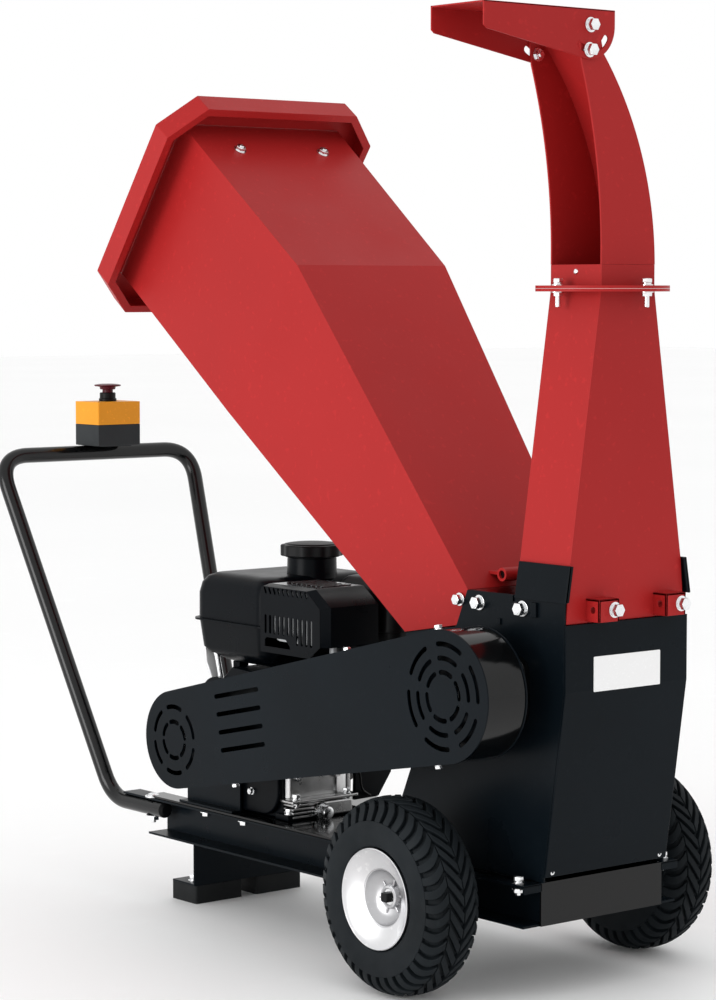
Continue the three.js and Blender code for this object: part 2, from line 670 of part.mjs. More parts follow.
// Two pressed shells meet at a seam; the filler's neck opens into them.
function fuelTank() {
  const seam = alongZ(tankPlan(6), TANK.seam - 1.5, TANK.seam + 1.5, 3).translate(TANK_MIDDLE);
  const neck = bar("z", CAP.neck, TANK.z1 - 3, TANK.z1 + CAP.rise, [CAP.x, CAP.y], 24);
  const filler = bar("z", 20, TANK.z1 - 20, TANK.z1 + CAP.rise + 5, [CAP.x, CAP.y], 16);
  return cut(join(tankShape(0), seam, neck), tankShape(3), filler);
}

function fuelCap() {
  const cap = turnedZ([[0, 0], [40, 0], [46, 3], [46, 17], [40, 20], [0, 21]], 24);
  const plug = bar("z", 19, -16, 1, [0, 0], 16);
  return join(cap, plug);
}

const MUFFLER = { x0: -120, x1: -24, y0: 271, y1: 418, z0: 400, z1: 496 };

// The muffler's shell with its exhaust pipe below and two studs that carry the guard.
function muffler() {
  const { x0, x1 } = MUFFLER;
  const can = alongX(roundedRect(104, 72, 18), x0 + 10, x1 - 4, 5).translate([0, 350, 452]);
  const pipe = bar("z", 12, 386, 420, [-50, 330], 16);
  const stud = (y, z) => bar("x", 4, x0 + 2.1, x0 + 12, [y, z], 12);
  return join(can, pipe, stud(322, 470), stud(378, 434));
}

// The guard is a heat shield, open towards the engine and below, its front corner cut off.
function mufflerGuard() {
  const { x0, x1, y0, y1, z0, z1 } = MUFFLER;
  const [back, rise, fall, t] = [8, 34, 23, 1.8];
  const outline = (d) => shapeOf([
    [y0 + d, z0 - 1], [y1 - d, z0 - 1], [y1 - d, z1 - back], [y1 - back, z1 - d],
    [y0 + rise, z1 - d], [y0 + d, z1 - fall],
  ]);
  const shell = cut(alongX(outline(0), x0, x1), alongX(outline(t), x0 + t, x1 + 5));
  const open = box(x0 + t, x1 + 5, y0 + t, y1 - t, z0 - 5, z0 + 5);
  const slots = Array.from({ length: 11 }, (_, i) => {
    const y = y0 + 29 + i * 10.4;
    return box(x0 - 5, x0 + 5, y, y + 4.6, i < 4 ? 416 : 428, 453);
  });
  const notch = box(x0 - 5, x0 + 5, y1 - 68, y1 - 8, z0 - 5, 420);
  const vents = Array.from({ length: 9 }, (_, i) => {
    const y = y0 + 40 + i * 10.5;
    return box(x0 + 16, x1 - 12, y, y + 4.5, z1 - 5, z1 + 5);
  });
  return cut(shell, open, notch, ...slots, ...vents);
}

const FILTER = { x0: -8, x1: 104, y0: 262, y1: 392, z0: 404, z1: 504 };

// The filter housing stands on its intake, over the cylinder.
function airFilter() {
  const { x0, x1, y0, y1, z0, z1 } = FILTER;
  const shape = roundedRect(x1 - x0, y1 - y0, 20);
  const middle = [(x0 + x1) / 2, (y0 + y1) / 2, 0];
  const base = alongZ(shape, z0, z0 + 26, 3);
  const lid = alongZ(roundedRect(x1 - x0 + 6, y1 - y0 + 6, 22), z0 + 26, z1 - 8, 3);
  const crown = alongZ(roundedRect(x1 - x0 - 14, y1 - y0 - 14, 14), z1 - 9, z1, 3);
  const intake = box(-4, 18, 300, 344, z0 - 17, z0 + 1);
  return join(join(base, lid, crown).translate(middle), intake);
}

const THROTTLE = { y: 346, z: 362 };

function throttleLever() {
  const hub = bar("x", 8, -4, 4, [0, 0], 16);
  const arm = box(-1.5, 1.5, -34, 0, -4, 4);
  const tab = bar("x", 8, -4, 4, [-36, 0], 12);
  return join(hub, arm, tab);
}

function engineSwitch() {
  const knob = bar("x", 13, 0, 8, [0, 0], 24);
  const ridge = box(7, 16, -3.5, 3.5, -11, 11);
  return join(knob, ridge);
}

function addEngine() {
  const place = group();
  add(place, "crankcase", crankcase(), ALLOY);
  add(place, "oil_drain_plug", drainPlug(), ZINC);
  add(place, "fan_shroud", fanShroud(), BLACK);
  add(place, "recoil_cover", recoilCover(), BLACK);
  add(place, "starter_grip", starterGrip(), DARK);
  add(place, "fuel_tank", fuelTank(), DARK);
  add(place, "fuel_cap", fuelCap(), DARK, [CAP.x, CAP.y, TANK.z1 + CAP.rise + GAP]);
  add(place, "muffler", muffler(), STEEL);
  add(place, "muffler_guard", mufflerGuard(), BLACK);
  add(place, "air_filter", airFilter(), DARK);
  add(place, "throttle_lever", throttleLever(), DARK, [SHROUD.x1 + 4 + GAP, THROTTLE.y, THROTTLE.z]);
  add(place, "engine_switch", engineSwitch(), CRIMSON, [SHROUD.x1 + GAP, 380, 300]);
  // The cylinder leans up from the crankshaft towards the discharge end.
  const lean = group([CYLINDER.x, CRANK.y, CRANK.z], [Math.PI - radians(CYLINDER.lean), 0, 0]);
  add(lean, "cylinder", cylinder(), ALLOY);
  add(lean, "valve_cover", valveCover(), BLACK);
}

// ---- Hopper -------------------------------------------------------------------------------------
const AIM = radians(38); // the hopper's axis above level
const HOPPER_FOOT = { fold: [313, 946], front: [-12, 522], knee: [10, 473], rear: [112, 455] };

// A block that narrows in X down the hopper's axis; grow is added to its half width.
function widthBlock(grow) {
  const [c, s] = [Math.cos(AIM), Math.sin(AIM)];
  const ring = (along, half) => {
    const at = (x, up) => [x, along * c - up * s, along * s + up * c];
    return [at(-half - grow, 700), at(half + grow, 700), at(half + grow, 150), at(-half - grow, 150)];
  };
  return loft([ring(200, 99.7), ring(829, 134.5), ring(1240, 145.5)]);
}

// The hopper's side outline, drawn in by d. The inner one runs out past both open ends.
function hopperOutline(d) {
  const t = radians(MOUTH.tilt);
  const reach = d > 0 ? 6 : 0;
  const at = (up) => [
    MOUTH.y - up * Math.sin(t) + reach * Math.cos(t),
    MOUTH.z + up * Math.cos(t) + reach * Math.sin(t),
  ];
  const { fold, front, knee, rear } = HOPPER_FOOT;
  if (d === 0) return shapeOf([at(-MOUTH.h), at(MOUTH.h), fold, front, knee, rear]);
  return shapeOf([
    at(-MOUTH.h + d), at(MOUTH.h - d), [fold[0] + d * 0.72, fold[1] - d * 0.72],
    [front[0] - 8 + d * 0.8, front[1] - 10 - d * 0.6], [front[0] - 20, front[1] - 100],
    [rear[0], rear[1] - 60], [rear[0] - 15 - d * 0.6, rear[1] - 12 + d * 0.8],
  ]);
}

// The hopper's half of the hinge: a tube on each side of the lug, with a strap to the front panel.
function hingeTube() {
  const inner = HINGE.lug + 1;
  const tube = bar("x", HINGE.r, inner, HINGE.x, [HINGE.y, HINGE.z], 20);
  const strap = box(inner + 2, HINGE.x - 14, HINGE.y, 5, HINGE.z - 3, HINGE.z + 1);
  return join(tube, strap);
}

function hopperBody() {
  const outer = alongX(hopperOutline(0), -200, 200).intersect(widthBlock(0));
  const inner = alongX(hopperOutline(SKIN), -200, 200).intersect(widthBlock(-SKIN));
  const bore = bar("x", HINGE.bore, -200, 200, [HINGE.y, HINGE.z], 16);
  const hinge = cut(hingeTube(), inner);
  return cut(join(cut(outer, inner), hinge, mirrorX(hinge)), bore);
}

// The mouth's frame, built flat: its opening faces +Z and its skirt runs down to -Z.
function mouthFrame() {
  const { w, h, cut: c, deep, lip } = RIM_FRAME;
  const octagon = (d) => {
    const k = c - d * 0.586;
    const [a, b] = [w - d, h - d];
    return shapeOf([
      [-a + k, -b], [a - k, -b], [a, -b + k], [a, b - k], [a - k, b], [-a + k, b], [-a, b - k],
      [-a, -b + k],
    ]);
  };
  const mouth = box(-MOUTH.w - GAP - 0.6, MOUTH.w + GAP + 0.6, -MOUTH.h - GAP, MOUTH.h + GAP, -10, 10);
  return cut(
    alongZ(octagon(0), -deep, 0),
    alongZ(octagon(2), -deep + 2, -2),
    alongZ(octagon(lip), -deep - 5, -deep + 5),
    mouth,
  );
}

// The flap hangs from the hopper's top panel, a little way in from the mouth.
const FLAP = { y: 536.7, half: 128, thick: 4, z0: 889, z1: 1116 };

function rubberFlap() {
  return box(-FLAP.half, FLAP.half, FLAP.y - FLAP.thick / 2, FLAP.y + FLAP.thick / 2, FLAP.z0, FLAP.z1);
}

function addHopper() {
  const place = group();
  add(place, "hopper_body", hopperBody(), RED);
  const mouth = group([0, MOUTH.y, MOUTH.z], [radians(MOUTH.tilt) - Math.PI / 2, 0, Math.PI]);
  add(mouth, "hopper_rim", mouthFrame(), RED);
  add(place, "rubber_flap", rubberFlap(), RUBBER);
}

// ---- Discharge chute ----------------------------------------------------------------------------
function ringAt(z, half, y0, y1) {
  return [[-half, y0, z], [half, y0, z], [half, y1, z], [-half, y1, z]];
}

function lowerChute() {
  const [y0, y1] = [CHUTE.y - CHUTE.half, CHUTE.y + CHUTE.half];
  const stations = [[CHUTE_FOOT_Z, 104.6], [563, 99], [CHUTE.flangeZ + 1, CHUTE.half]];
  const tube = (d, below, above) =>
    loft(
      stations.map(([z, half], i) => {
        const level = z + (i === 0 ? -below : 0) + (i === 2 ? above : 0);
        return ringAt(level, half - d, y0 + d, y1 - d);
      }),
    );
  const ring = bar("z", CHUTE.flangeR, CHUTE.flangeZ, CHUTE.flangeZ + CHUTE.flangeT, [0, CHUTE.y], 28);
  const { deep, half, z0, z1 } = CLAMP;
  const tab = (x) => box(x - half, x + half, y0 - deep, y0 + 1, z0, z1);
  const hollow = (x) => box(x - half + 3, x + half - 3, y0 - deep + 3, y0 - 0.5, z0 - 5, z1 - 3);
  const brackets = CLAMP.x.map((x) => cut(tab(x), hollow(x)));
  return cut(join(tube(0, 0, 0), ring, ...brackets), tube(SKIN, 5, 20));
}

// The turning part of the chute: a short square neck, then two side plates and a curved back,
// open towards the side that it throws to.
function upperChute() {
  const base = CHUTE.flangeZ + CHUTE.flangeT + GAP;
  const [h, y0, y1] = [CHUTE.half, CHUTE.y - CHUTE.half, CHUTE.y + CHUTE.half];
  const neckTop = 944;
  const [backR, frontR] = [430, 785];
  const ring = bar("z", CHUTE.flangeR, base, base + CHUTE.flangeT, [0, CHUTE.y], 28);
  const neck = cut(
    box(-h, h, y0, y1, base, neckTop),
    box(-h + SKIN, h - SKIN, y0 + SKIN, y1 - SKIN, base - 5, neckTop + 5),
  );
  const bore = box(-h + SKIN, h - SKIN, y0 + SKIN, y1 - SKIN, base - 5, base + 10);
  const side = new THREE.Shape();
  side.moveTo(-h, neckTop - 5);
  side.lineTo(h, neckTop - 5);
  side.absarc(h - backR, neckTop - 4, backR, 0, radians(38.4));
  side.absarc(TILT_PIVOT.x, TILT_PIVOT.z, 17, radians(20), radians(170));
  side.absarc(-h - frontR, neckTop + 16, frontR, radians(17.5), 0, true);
  const cheeks = join(alongY(side, y0, y0 + SKIN, 8), alongY(side, y1 - SKIN, y1, 8));
  const curve = arcSlot([h - backR, neckTop - 4], backR - SKIN / 2, SKIN, 0, radians(41.5));
  const back = alongY(curve, y0, y1, 8);
  const bolt = bar("y", 4.3, -400, 100, [TILT_PIVOT.x, TILT_PIVOT.z], 16);
  return cut(join(cut(join(ring, neck), bore), cheeks, back), bolt);
}

// The deflector caps the chute's end: a roof between two cheeks that turn on the pivot bolt.
function deflector() {
  const [y0, y1] = [CHUTE.y - CHUTE.half - GAP, CHUTE.y + CHUTE.half + GAP];
  const { x, z, r } = TILT_PIVOT;
  const { endX, roof, t } = SPOUT;
  const cheek = new THREE.Shape();
  cheek.moveTo(endX, roof);
  cheek.lineTo(endX, 1231);
  cheek.lineTo(endX + 5, 1227);
  cheek.absarc(x, z, r, radians(-100), 0);
  cheek.lineTo(x + r, roof);
  const slot = arcSlot([x, z], 31, 8.5, radians(236), radians(330));
  const both = cut(
    join(alongY(cheek, y0 - t, y0, 8), alongY(cheek, y1, y1 + t, 8)),
    alongY(slot, -400, 100, 6),
    bar("y", 4.3, -400, 100, [x, z], 16),
  );
  return join(both, box(endX, x + r, y0 - t, y1 + t, roof - t, roof));
}

// The pivot bolt runs through both cheeks, with its head on the discharge side.
function tiltBolt() {
  const reach = CHUTE.half + 2 * GAP + SPOUT.t;
  const [y0, y1] = [CHUTE.y - reach, CHUTE.y + reach];
  const at = [TILT_PIVOT.x, TILT_PIVOT.z];
  return join(
    bar("y", 4, y0 - 1, y1 + 1, at, 16),
    bar("y", 9, y0 - 8, y0, at, 6),
    bar("y", 9, y1, y1 + 7, at, 6),
  );
}

function addChute() {
  const place = group();
  add(place, "lower_chute", lowerChute(), RED);
  add(place, "upper_chute", upperChute(), RED);
  add(place, "deflector", deflector(), RED);
  add(place, "deflector_bolt", tiltBolt(), ZINC);
}

// ---- Assembly -----------------------------------------------------------------------------------
addFrame();
addStop();
addWheel("left", -1);
addWheel("right", 1);
addAxleScrew("left", -1);
addAxleScrew("right", 1);
addHousing();
addRotor();
addAnvil();
addDrive();
addEngine();
addHopper();
addChute();

// The part's origin is the middle of its footprint, on the ground.
const part = new THREE.Group();
part.add(root);
const size = new THREE.Box3().setFromObject(root);
const middle = size.getCenter(new THREE.Vector3());
root.position.set(-middle.x, -middle.y, -size.min.z);

export default part;
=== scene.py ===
"""A petrol wood chipper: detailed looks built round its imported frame."""

import math

import bmesh
import bpy
from mathutils import Matrix, Vector
from mathutils.geometry import tessellate_polygon


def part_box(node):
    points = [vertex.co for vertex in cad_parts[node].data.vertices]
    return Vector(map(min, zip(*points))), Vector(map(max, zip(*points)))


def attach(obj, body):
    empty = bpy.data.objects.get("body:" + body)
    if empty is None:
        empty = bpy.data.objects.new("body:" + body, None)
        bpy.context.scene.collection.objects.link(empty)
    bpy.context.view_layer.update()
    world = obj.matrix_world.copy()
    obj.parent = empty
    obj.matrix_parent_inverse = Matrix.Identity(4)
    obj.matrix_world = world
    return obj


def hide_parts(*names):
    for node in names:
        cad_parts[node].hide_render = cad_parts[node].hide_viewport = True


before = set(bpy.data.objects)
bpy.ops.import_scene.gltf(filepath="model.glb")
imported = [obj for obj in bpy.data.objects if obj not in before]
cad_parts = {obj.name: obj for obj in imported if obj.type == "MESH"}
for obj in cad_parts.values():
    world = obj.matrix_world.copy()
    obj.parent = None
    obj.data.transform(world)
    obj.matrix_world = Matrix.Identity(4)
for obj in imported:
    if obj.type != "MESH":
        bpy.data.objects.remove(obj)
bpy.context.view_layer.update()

# ---- Units --------------------------------------------------------------------------------------
# Lengths are millimetres, from the point on the ground below the axle. TO_ROW turns them into the
# frame's own metres.
AXLE = (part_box("axle")[0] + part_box("axle")[1]) / 2
TO_ROW = Matrix.Translation((0, AXLE.y, 0)) @ Matrix.Scale(0.001, 4)
FROM_ROW = TO_ROW.inverted()


def span(node):
    low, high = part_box(node)
    return FROM_ROW @ low, FROM_ROW @ high


def middle(node):
    low, high = span(node)
    return (low + high) / 2


# ---- Driving dimensions -------------------------------------------------------------------------
TYRE_LOW, TYRE_HIGH = span("tyre_right")
WHEEL_R = (TYRE_HIGH.z - TYRE_LOW.z) / 2
WHEEL_X = (TYRE_LOW.x + TYRE_HIGH.x) / 2
LUGS = 38

DRUM = middle("rotor_shaft")
CRANK = middle("crankshaft")
GUARD_LOW, GUARD_HIGH = span("belt_guard_cover")
GUARD_R = {"drum": GUARD_HIGH.z - DRUM.z, "crank": CRANK.z - GUARD_LOW.z}
VENT_W = 6.5

HOUSE_X = span("housing_side_right")[1].x
# Bolts along the top of each side plate, as (y, z, size across flats), and the bearings' bolts, each
# this far from the shaft's axis in y and in z.
HOUSE_BOLTS = [(1, 508, 13), (-38, 507, 15), (-121, 506, 15.5)]
BEARING_BOLT = 34
DECK_Z = span("deck_plate")[1].z
RAIL_HIGH = span("rail_right")[1]

CHUTE = middle("upper_chute")
CHUTE_HALF = 47
FLANGE_R = (span("upper_chute")[1].y - span("upper_chute")[0].y) / 2
FLANGE_Z = span("upper_chute")[0].z
FLANGE_T = 3.7
NECK_Z = 944
CLAMP = {"x": (-53, 66), "half": 17.5, "deep": 24, "z0": 494, "z1": 523}
SKIN = 2.5
BEND_BACK = 430
BEND_FRONT = 785
BEND_END = 41.5
PIVOT = middle("deflector_bolt")
LOCK_R = 31
LOCK = (PIVOT.x - 1.8, PIVOT.z - LOCK_R)
SPOUT_LOW, SPOUT_HIGH = span("deflector")

HOPPER_FOLD = (313, 946)
HOPPER_SLOPE = 0.7877

TUBE_R = 12
GRIP = Vector((185, 1011, 652))
STUB = Vector((123.6, 788, 138.5))
STUB_END = span("handle_tube")[0].y

# ---- Mesh building ------------------------------------------------------------------------------
AXES = {
    "x": lambda u, v, w: (w, u, v),
    "y": lambda u, v, w: (u, w, v),
    "z": lambda u, v, w: (u, v, w),
}


def mesh_of(points, faces):
    made = bmesh.new()
    verts = [made.verts.new(p) for p in points]
    for face in faces:
        made.faces.new([verts[i] for i in face])
    bmesh.ops.remove_doubles(made, verts=made.verts, dist=1e-4)
    bmesh.ops.recalc_face_normals(made, faces=made.faces)
    return made


def merge(*parts):
    made = bmesh.new()
    for part in parts:
        held = bpy.data.meshes.new("held")
        part.to_mesh(held)
        part.free()
        made.from_mesh(held)
        bpy.data.meshes.remove(held)
    return made


def moved(part, *matrices):
    for matrix in matrices:
        bmesh.ops.transform(part, matrix=matrix, verts=part.verts)
    bmesh.ops.recalc_face_normals(part, faces=part.faces)
    return part


def shift(x=0, y=0, z=0):
    return Matrix.Translation((x, y, z))


def turn(degrees, axis):
    return Matrix.Rotation(math.radians(degrees), 4, axis.upper())


def mirrored(part):
    return moved(part, Matrix.Scale(-1, 4, (1, 0, 0)))


def prism(axis, outline, a, b, holes=()):
    """An outline, with any holes, extruded along an axis from a to b."""
    place = AXES[axis]
    loops = [list(outline)] + [list(h) for h in holes]
    flat = [p for loop in loops for p in loop]
    n = len(flat)
    points = [place(u, v, a) for u, v in flat] + [place(u, v, b) for u, v in flat]
    if holes:
        caps = tessellate_polygon([[Vector((u, v, 0)) for u, v in loop] for loop in loops])
    else:
        caps = [tuple(range(n))]
    faces = list(caps) + [tuple(i + n for i in reversed(face)) for face in caps]
    start = 0
    for loop in loops:
        k = len(loop)
        faces += [
            (start + i, start + (i + 1) % k, start + (i + 1) % k + n, start + i + n)
            for i in range(k)
        ]
        start += k
    return mesh_of(points, faces)


def block(x0, x1, y0, y1, z0, z1):
    return prism("z", [(x0, y0), (x1, y0), (x1, y1), (x0, y1)], z0, z1)


def lathe(axis, profile, centre=(0, 0), sides=64):
    """A closed profile of (radius, height) turned round an axis through centre."""
    place = AXES[axis]
    u0, v0 = centre
    k = len(profile)
    points = []
    for i in range(sides):
        c, s = math.cos(2 * math.pi * i / sides), math.sin(2 * math.pi * i / sides)
        points += [place(u0 + r * c, v0 + r * s, h) for r, h in profile]
    faces = []
    for i in range(sides):
        a, b = i * k, (i + 1) % sides * k
        for j in range(k):
            j2 = (j + 1) % k
            ring = [a + j, b + j, b + j2, a + j2]
            if profile[j][0] < 1e-6 and profile[j2][0] < 1e-6:
                continue
            if profile[j][0] < 1e-6:
                ring = [a + j, b + j2, a + j2]
            elif profile[j2][0] < 1e-6:
                ring = [a + j, b + j, a + j2]
            faces.append(ring)
    return mesh_of(points, faces)


def sweep(path, section):
    """A closed section of (side, up) offsets carried along a path of points."""
    path = [Vector(p) for p in path]
    ahead = (path[1] - path[0]).normalized()
    side = ahead.orthogonal().normalized()
    k = len(section)
    points = []
    for i, at in enumerate(path):
        before = path[max(i - 1, 0)]
        after = path[min(i + 1, len(path) - 1)]
        now = (after - before).normalized()
        side = (ahead.rotation_difference(now) @ side).normalized()
        ahead = now
        up = ahead.cross(side)
        points += [at + side * a + up * b for a, b in section]
    faces = [tuple(range(k)), tuple(range(len(points) - k, len(points)))]
    for i in range(len(path) - 1):
        faces += [
            (i * k + j, i * k + (j + 1) % k, (i + 1) * k + (j + 1) % k, (i + 1) * k + j)
            for j in range(k)
        ]
    return mesh_of(points, faces)


def tube(path, r, sides=24):
    return sweep(path, circle((0, 0), r, sides))


def bevel(part, width, segments=2, angle=40, pick=None):
    part.normal_update()
    edges = [
        e
        for e in part.edges
        if len(e.link_faces) == 2
        and e.calc_face_angle(0) > math.radians(angle)
        and (pick is None or pick(e))
    ]
    bmesh.ops.bevel(
        part, geom=edges, offset=width, segments=segments, profile=0.5, affect="EDGES", clamp_overlap=True
    )
    return part


# ---- Outlines -----------------------------------------------------------------------------------
def arc(centre, r, start, end, steps=16):
    """Points from one angle to another, in degrees."""
    angles = [math.radians(start + (end - start) * i / steps) for i in range(steps + 1)]
    return [(centre[0] + r * math.cos(a), centre[1] + r * math.sin(a)) for a in angles]


def circle(centre, r, steps=32):
    return arc(centre, r, 0, 360, steps)[:-1]


def round_rect(w, h, r, centre=(0, 0), steps=6):
    a, b = w / 2 - r, h / 2 - r
    corners = [(a, b, 0), (-a, b, 90), (-a, -b, 180), (a, -b, 270)]
    return [
        p
        for x, y, start in corners
        for p in arc((centre[0] + x, centre[1] + y), r, start, start + 90, steps)
    ]


def slot(centre, length, width, angle):
    """A straight slot with round ends."""
    ends = arc((length / 2 - width / 2, 0), width / 2, -90, 90, 8)
    ends += arc((-length / 2 + width / 2, 0), width / 2, 90, 270, 8)
    c, s = math.cos(math.radians(angle)), math.sin(math.radians(angle))
    return [(centre[0] + u * c - v * s, centre[1] + u * s + v * c) for u, v in ends]


def arc_slot(centre, r, width, start, end, steps=14):
    """A slot bent round a centre, with round ends."""
    tip = [arc(centre, r, a, a, 1)[0] for a in (start, end)]
    return (
        arc(centre, r + width / 2, start, end, steps)
        + arc(tip[1], width / 2, end, end + 180, 6)[1:-1]
        + arc(centre, r - width / 2, end, start, steps)
        + arc(tip[0], width / 2, start + 180, start + 360, 6)[1:-1]
    )


def belt_outline(grow=0, steps=40):
    """The belt guard's outline: an arc round each shaft and the straight tangents between them."""
    ra, rb = GUARD_R["drum"] + grow, GUARD_R["crank"] + grow
    along = math.degrees(math.atan2(CRANK.z - DRUM.z, CRANK.y - DRUM.y))
    lean = math.degrees(math.acos((ra - rb) / math.hypot(CRANK.z - DRUM.z, CRANK.y - DRUM.y)))
    big = arc((DRUM.y, DRUM.z), ra, along + lean, along + 360 - lean, steps)
    return big + arc((CRANK.y, CRANK.z), rb, along - lean, along + lean, steps)


# ---- Materials ----------------------------------------------------------------------------------
def surface(
    name, colour, rough, metal=0.0, vary=0.1, cloud=7, grain=900, bump=0.03, shine=0.3, brushed=0.0
):
    """A procedural finish: cloudy colour and gloss, and a fine grain."""
    made = bpy.data.materials.new(name)
    made.use_nodes = True
    nodes, links = made.node_tree.nodes, made.node_tree.links
    shader = nodes["Principled BSDF"]
    shader.inputs["Metallic"].default_value = metal
    shader.inputs["Specular IOR Level"].default_value = shine
    if brushed:
        # The brush marks run round the wheel's axis.
        round_axis = nodes.new("ShaderNodeTangent")
        round_axis.direction_type = "RADIAL"
        round_axis.axis = "X"
        links.new(round_axis.outputs["Tangent"], shader.inputs["Tangent"])
        shader.inputs["Anisotropic"].default_value = brushed
    where = nodes.new("ShaderNodeTexCoord").outputs["Object"]

    def noise(scale, detail):
        node = nodes.new("ShaderNodeTexNoise")
        node.inputs["Scale"].default_value = scale
        node.inputs["Detail"].default_value = detail
        links.new(where, node.inputs["Vector"])
        return node.outputs["Fac"]

    def ranged(value, low, high, start=0.3, end=0.7):
        node = nodes.new("ShaderNodeMapRange")
        node.inputs["From Min"].default_value = start
        node.inputs["From Max"].default_value = end
        node.inputs["To Min"].default_value = low
        node.inputs["To Max"].default_value = high
        links.new(value, node.inputs["Value"])
        return node.outputs["Result"]

    def mixed(factor, first, second):
        node = nodes.new("ShaderNodeMix")
        node.data_type = "RGBA"
        links.new(factor, node.inputs["Factor"])
        for socket, value in ((node.inputs[6], first), (node.inputs[7], second)):
            if isinstance(value, tuple):
                socket.default_value = (*value, 1)
            else:
                links.new(value, socket)
        return node.outputs[2]

    clouds = noise(cloud, 4)
    dark = tuple(c * (1 - vary) for c in colour)
    light = tuple(min(1, c * (1 + vary)) for c in colour)
    tint = mixed(ranged(clouds, 0, 1), dark, light)
    specks = ranged(noise(grain / 6, 2), 0, 0.5, 0.62, 0.72)
    tint = mixed(specks, tint, tuple(min(1, c * 1.3 + 0.002) for c in colour))
    links.new(tint, shader.inputs["Base Color"])
    links.new(ranged(noise(cloud * 3, 5), rough * 0.85, min(1, rough * 1.2)), shader.inputs["Roughness"])
    relief = nodes.new("ShaderNodeBump")
    relief.inputs["Strength"].default_value = bump
    relief.inputs["Distance"].default_value = 0.0006
    links.new(noise(grain, 2), relief.inputs["Height"])
    links.new(relief.outputs["Normal"], shader.inputs["Normal"])
    return made


RED = surface("red_coat", (0.36, 0.015, 0.015), 0.42, vary=0.05, cloud=3, grain=700, bump=0.05, shine=0.14)
BLACK = surface(
    "black_coat", (0.0028, 0.0052, 0.0076), 0.3, vary=0.2, cloud=4, grain=800, bump=0.05, shine=0.08
)
GLOSS = surface("gloss_black", (0.002, 0.0022, 0.0024), 0.12, vary=0.2, grain=600, bump=0.02, shine=0.3)
SATIN = surface("satin_black", (0.0018, 0.0028, 0.0042), 0.3, vary=0.2, grain=1100, bump=0.05, shine=0.07)
TUBE_COAT = surface("tube_coat", (0.003, 0.0033, 0.0036), 0.2, vary=0.2, grain=600, bump=0.03, shine=0.35)
ZINC = surface("zinc", (0.86, 0.87, 0.88), 0.24, metal=1.0, vary=0.08, cloud=60, grain=1500, bump=0.04)
STEEL = surface("steel", (0.42, 0.43, 0.44), 0.3, metal=1.0, vary=0.12, cloud=20, grain=1500, bump=0.05)
BLADE = surface("blade_steel", (0.6, 0.61, 0.62), 0.2, metal=1.0, vary=0.08, cloud=30, grain=1200, bump=0.04)
ALLOY = surface("cast_alloy", (0.5, 0.5, 0.5), 0.3, metal=1.0, vary=0.14, cloud=25, grain=700, bump=0.16)
DISH = surface(
    "spun_alloy", (0.52, 0.52, 0.53), 0.3, metal=1.0,
    vary=0.12, cloud=9, grain=900, bump=0.05, brushed=0.75,
)
TYRE = surface("tyre_rubber", (0.0075, 0.01, 0.012), 0.6, vary=0.2, cloud=12, grain=900, bump=0.1, shine=0.12)
RUBBER = surface(
    "moulded_rubber", (0.008, 0.009, 0.0095), 0.6, vary=0.2, cloud=10, grain=900, bump=0.14, shine=0.16
)
WHEEL = surface(
    "wheel_paint", (0.78, 0.78, 0.79), 0.3, metal=1.0,
    vary=0.03, grain=600, bump=0.02, shine=0.5, brushed=0.75,
)
PLASTIC = surface(
    "black_plastic", (0.0035, 0.0038, 0.0042), 0.42, vary=0.15, grain=1400, bump=0.1, shine=0.16
)
GREY = surface("grey_plastic", (0.02, 0.023, 0.025), 0.5, vary=0.1, grain=1400, bump=0.1, shine=0.2)
YELLOW = surface("yellow_plastic", (0.76, 0.3, 0.016), 0.45, vary=0.04, grain=1400, bump=0.06, shine=0.2)
CRIMSON = surface("stop_red", (0.075, 0.003, 0.01), 0.35, vary=0.1, grain=900, bump=0.02, shine=0.2)
WHITE = surface("white_plate", (0.88, 0.88, 0.88), 0.5, vary=0.01, cloud=1, grain=2400, bump=0.01, shine=0.1)
MESH = surface("guard_top", (0.03, 0.032, 0.034), 0.16, vary=0.2, grain=500, bump=0.05, shine=1.0)


# ---- Pieces -------------------------------------------------------------------------------------
def piece(name, parts, look, body, replaces=(), sharp=35):
    """Joins the parts into one object that rides on a body and stands for the CAD nodes named."""
    made = merge(*parts)
    data = bpy.data.meshes.new(name)
    made.to_mesh(data)
    made.free()
    data.transform(TO_ROW)
    for polygon in data.polygons:
        polygon.use_smooth = True
    data.set_sharp_from_angle(angle=math.radians(sharp))
    data.materials.append(look)
    thing = bpy.data.objects.new(name, data)
    bpy.context.scene.collection.objects.link(thing)
    weighted = thing.modifiers.new("even_shading", "WEIGHTED_NORMAL")
    weighted.keep_sharp = True
    weighted.weight = 80
    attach(thing, body)
    if replaces:
        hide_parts(*replaces)
    return thing


def dress(look, *nodes, width=0.8):
    """Gives CAD nodes a material and rounds their edges a little."""
    for node in nodes:
        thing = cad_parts[node]
        thing.data.materials.clear()
        thing.data.materials.append(look)
        weld = thing.modifiers.new("weld", "WELD")
        weld.merge_threshold = 2e-5
        if width:
            rounding = thing.modifiers.new("edges", "BEVEL")
            rounding.width = width * 0.001
            rounding.segments = 2
            rounding.limit_method = "ANGLE"
            rounding.angle_limit = math.radians(38)
            rounding.harden_normals = True


def towards(direction, at):
    """Takes +Z to a direction, and the origin to a point."""
    return Matrix.Translation(at) @ Vector(direction).to_track_quat("Z", "Y").to_matrix().to_4x4()


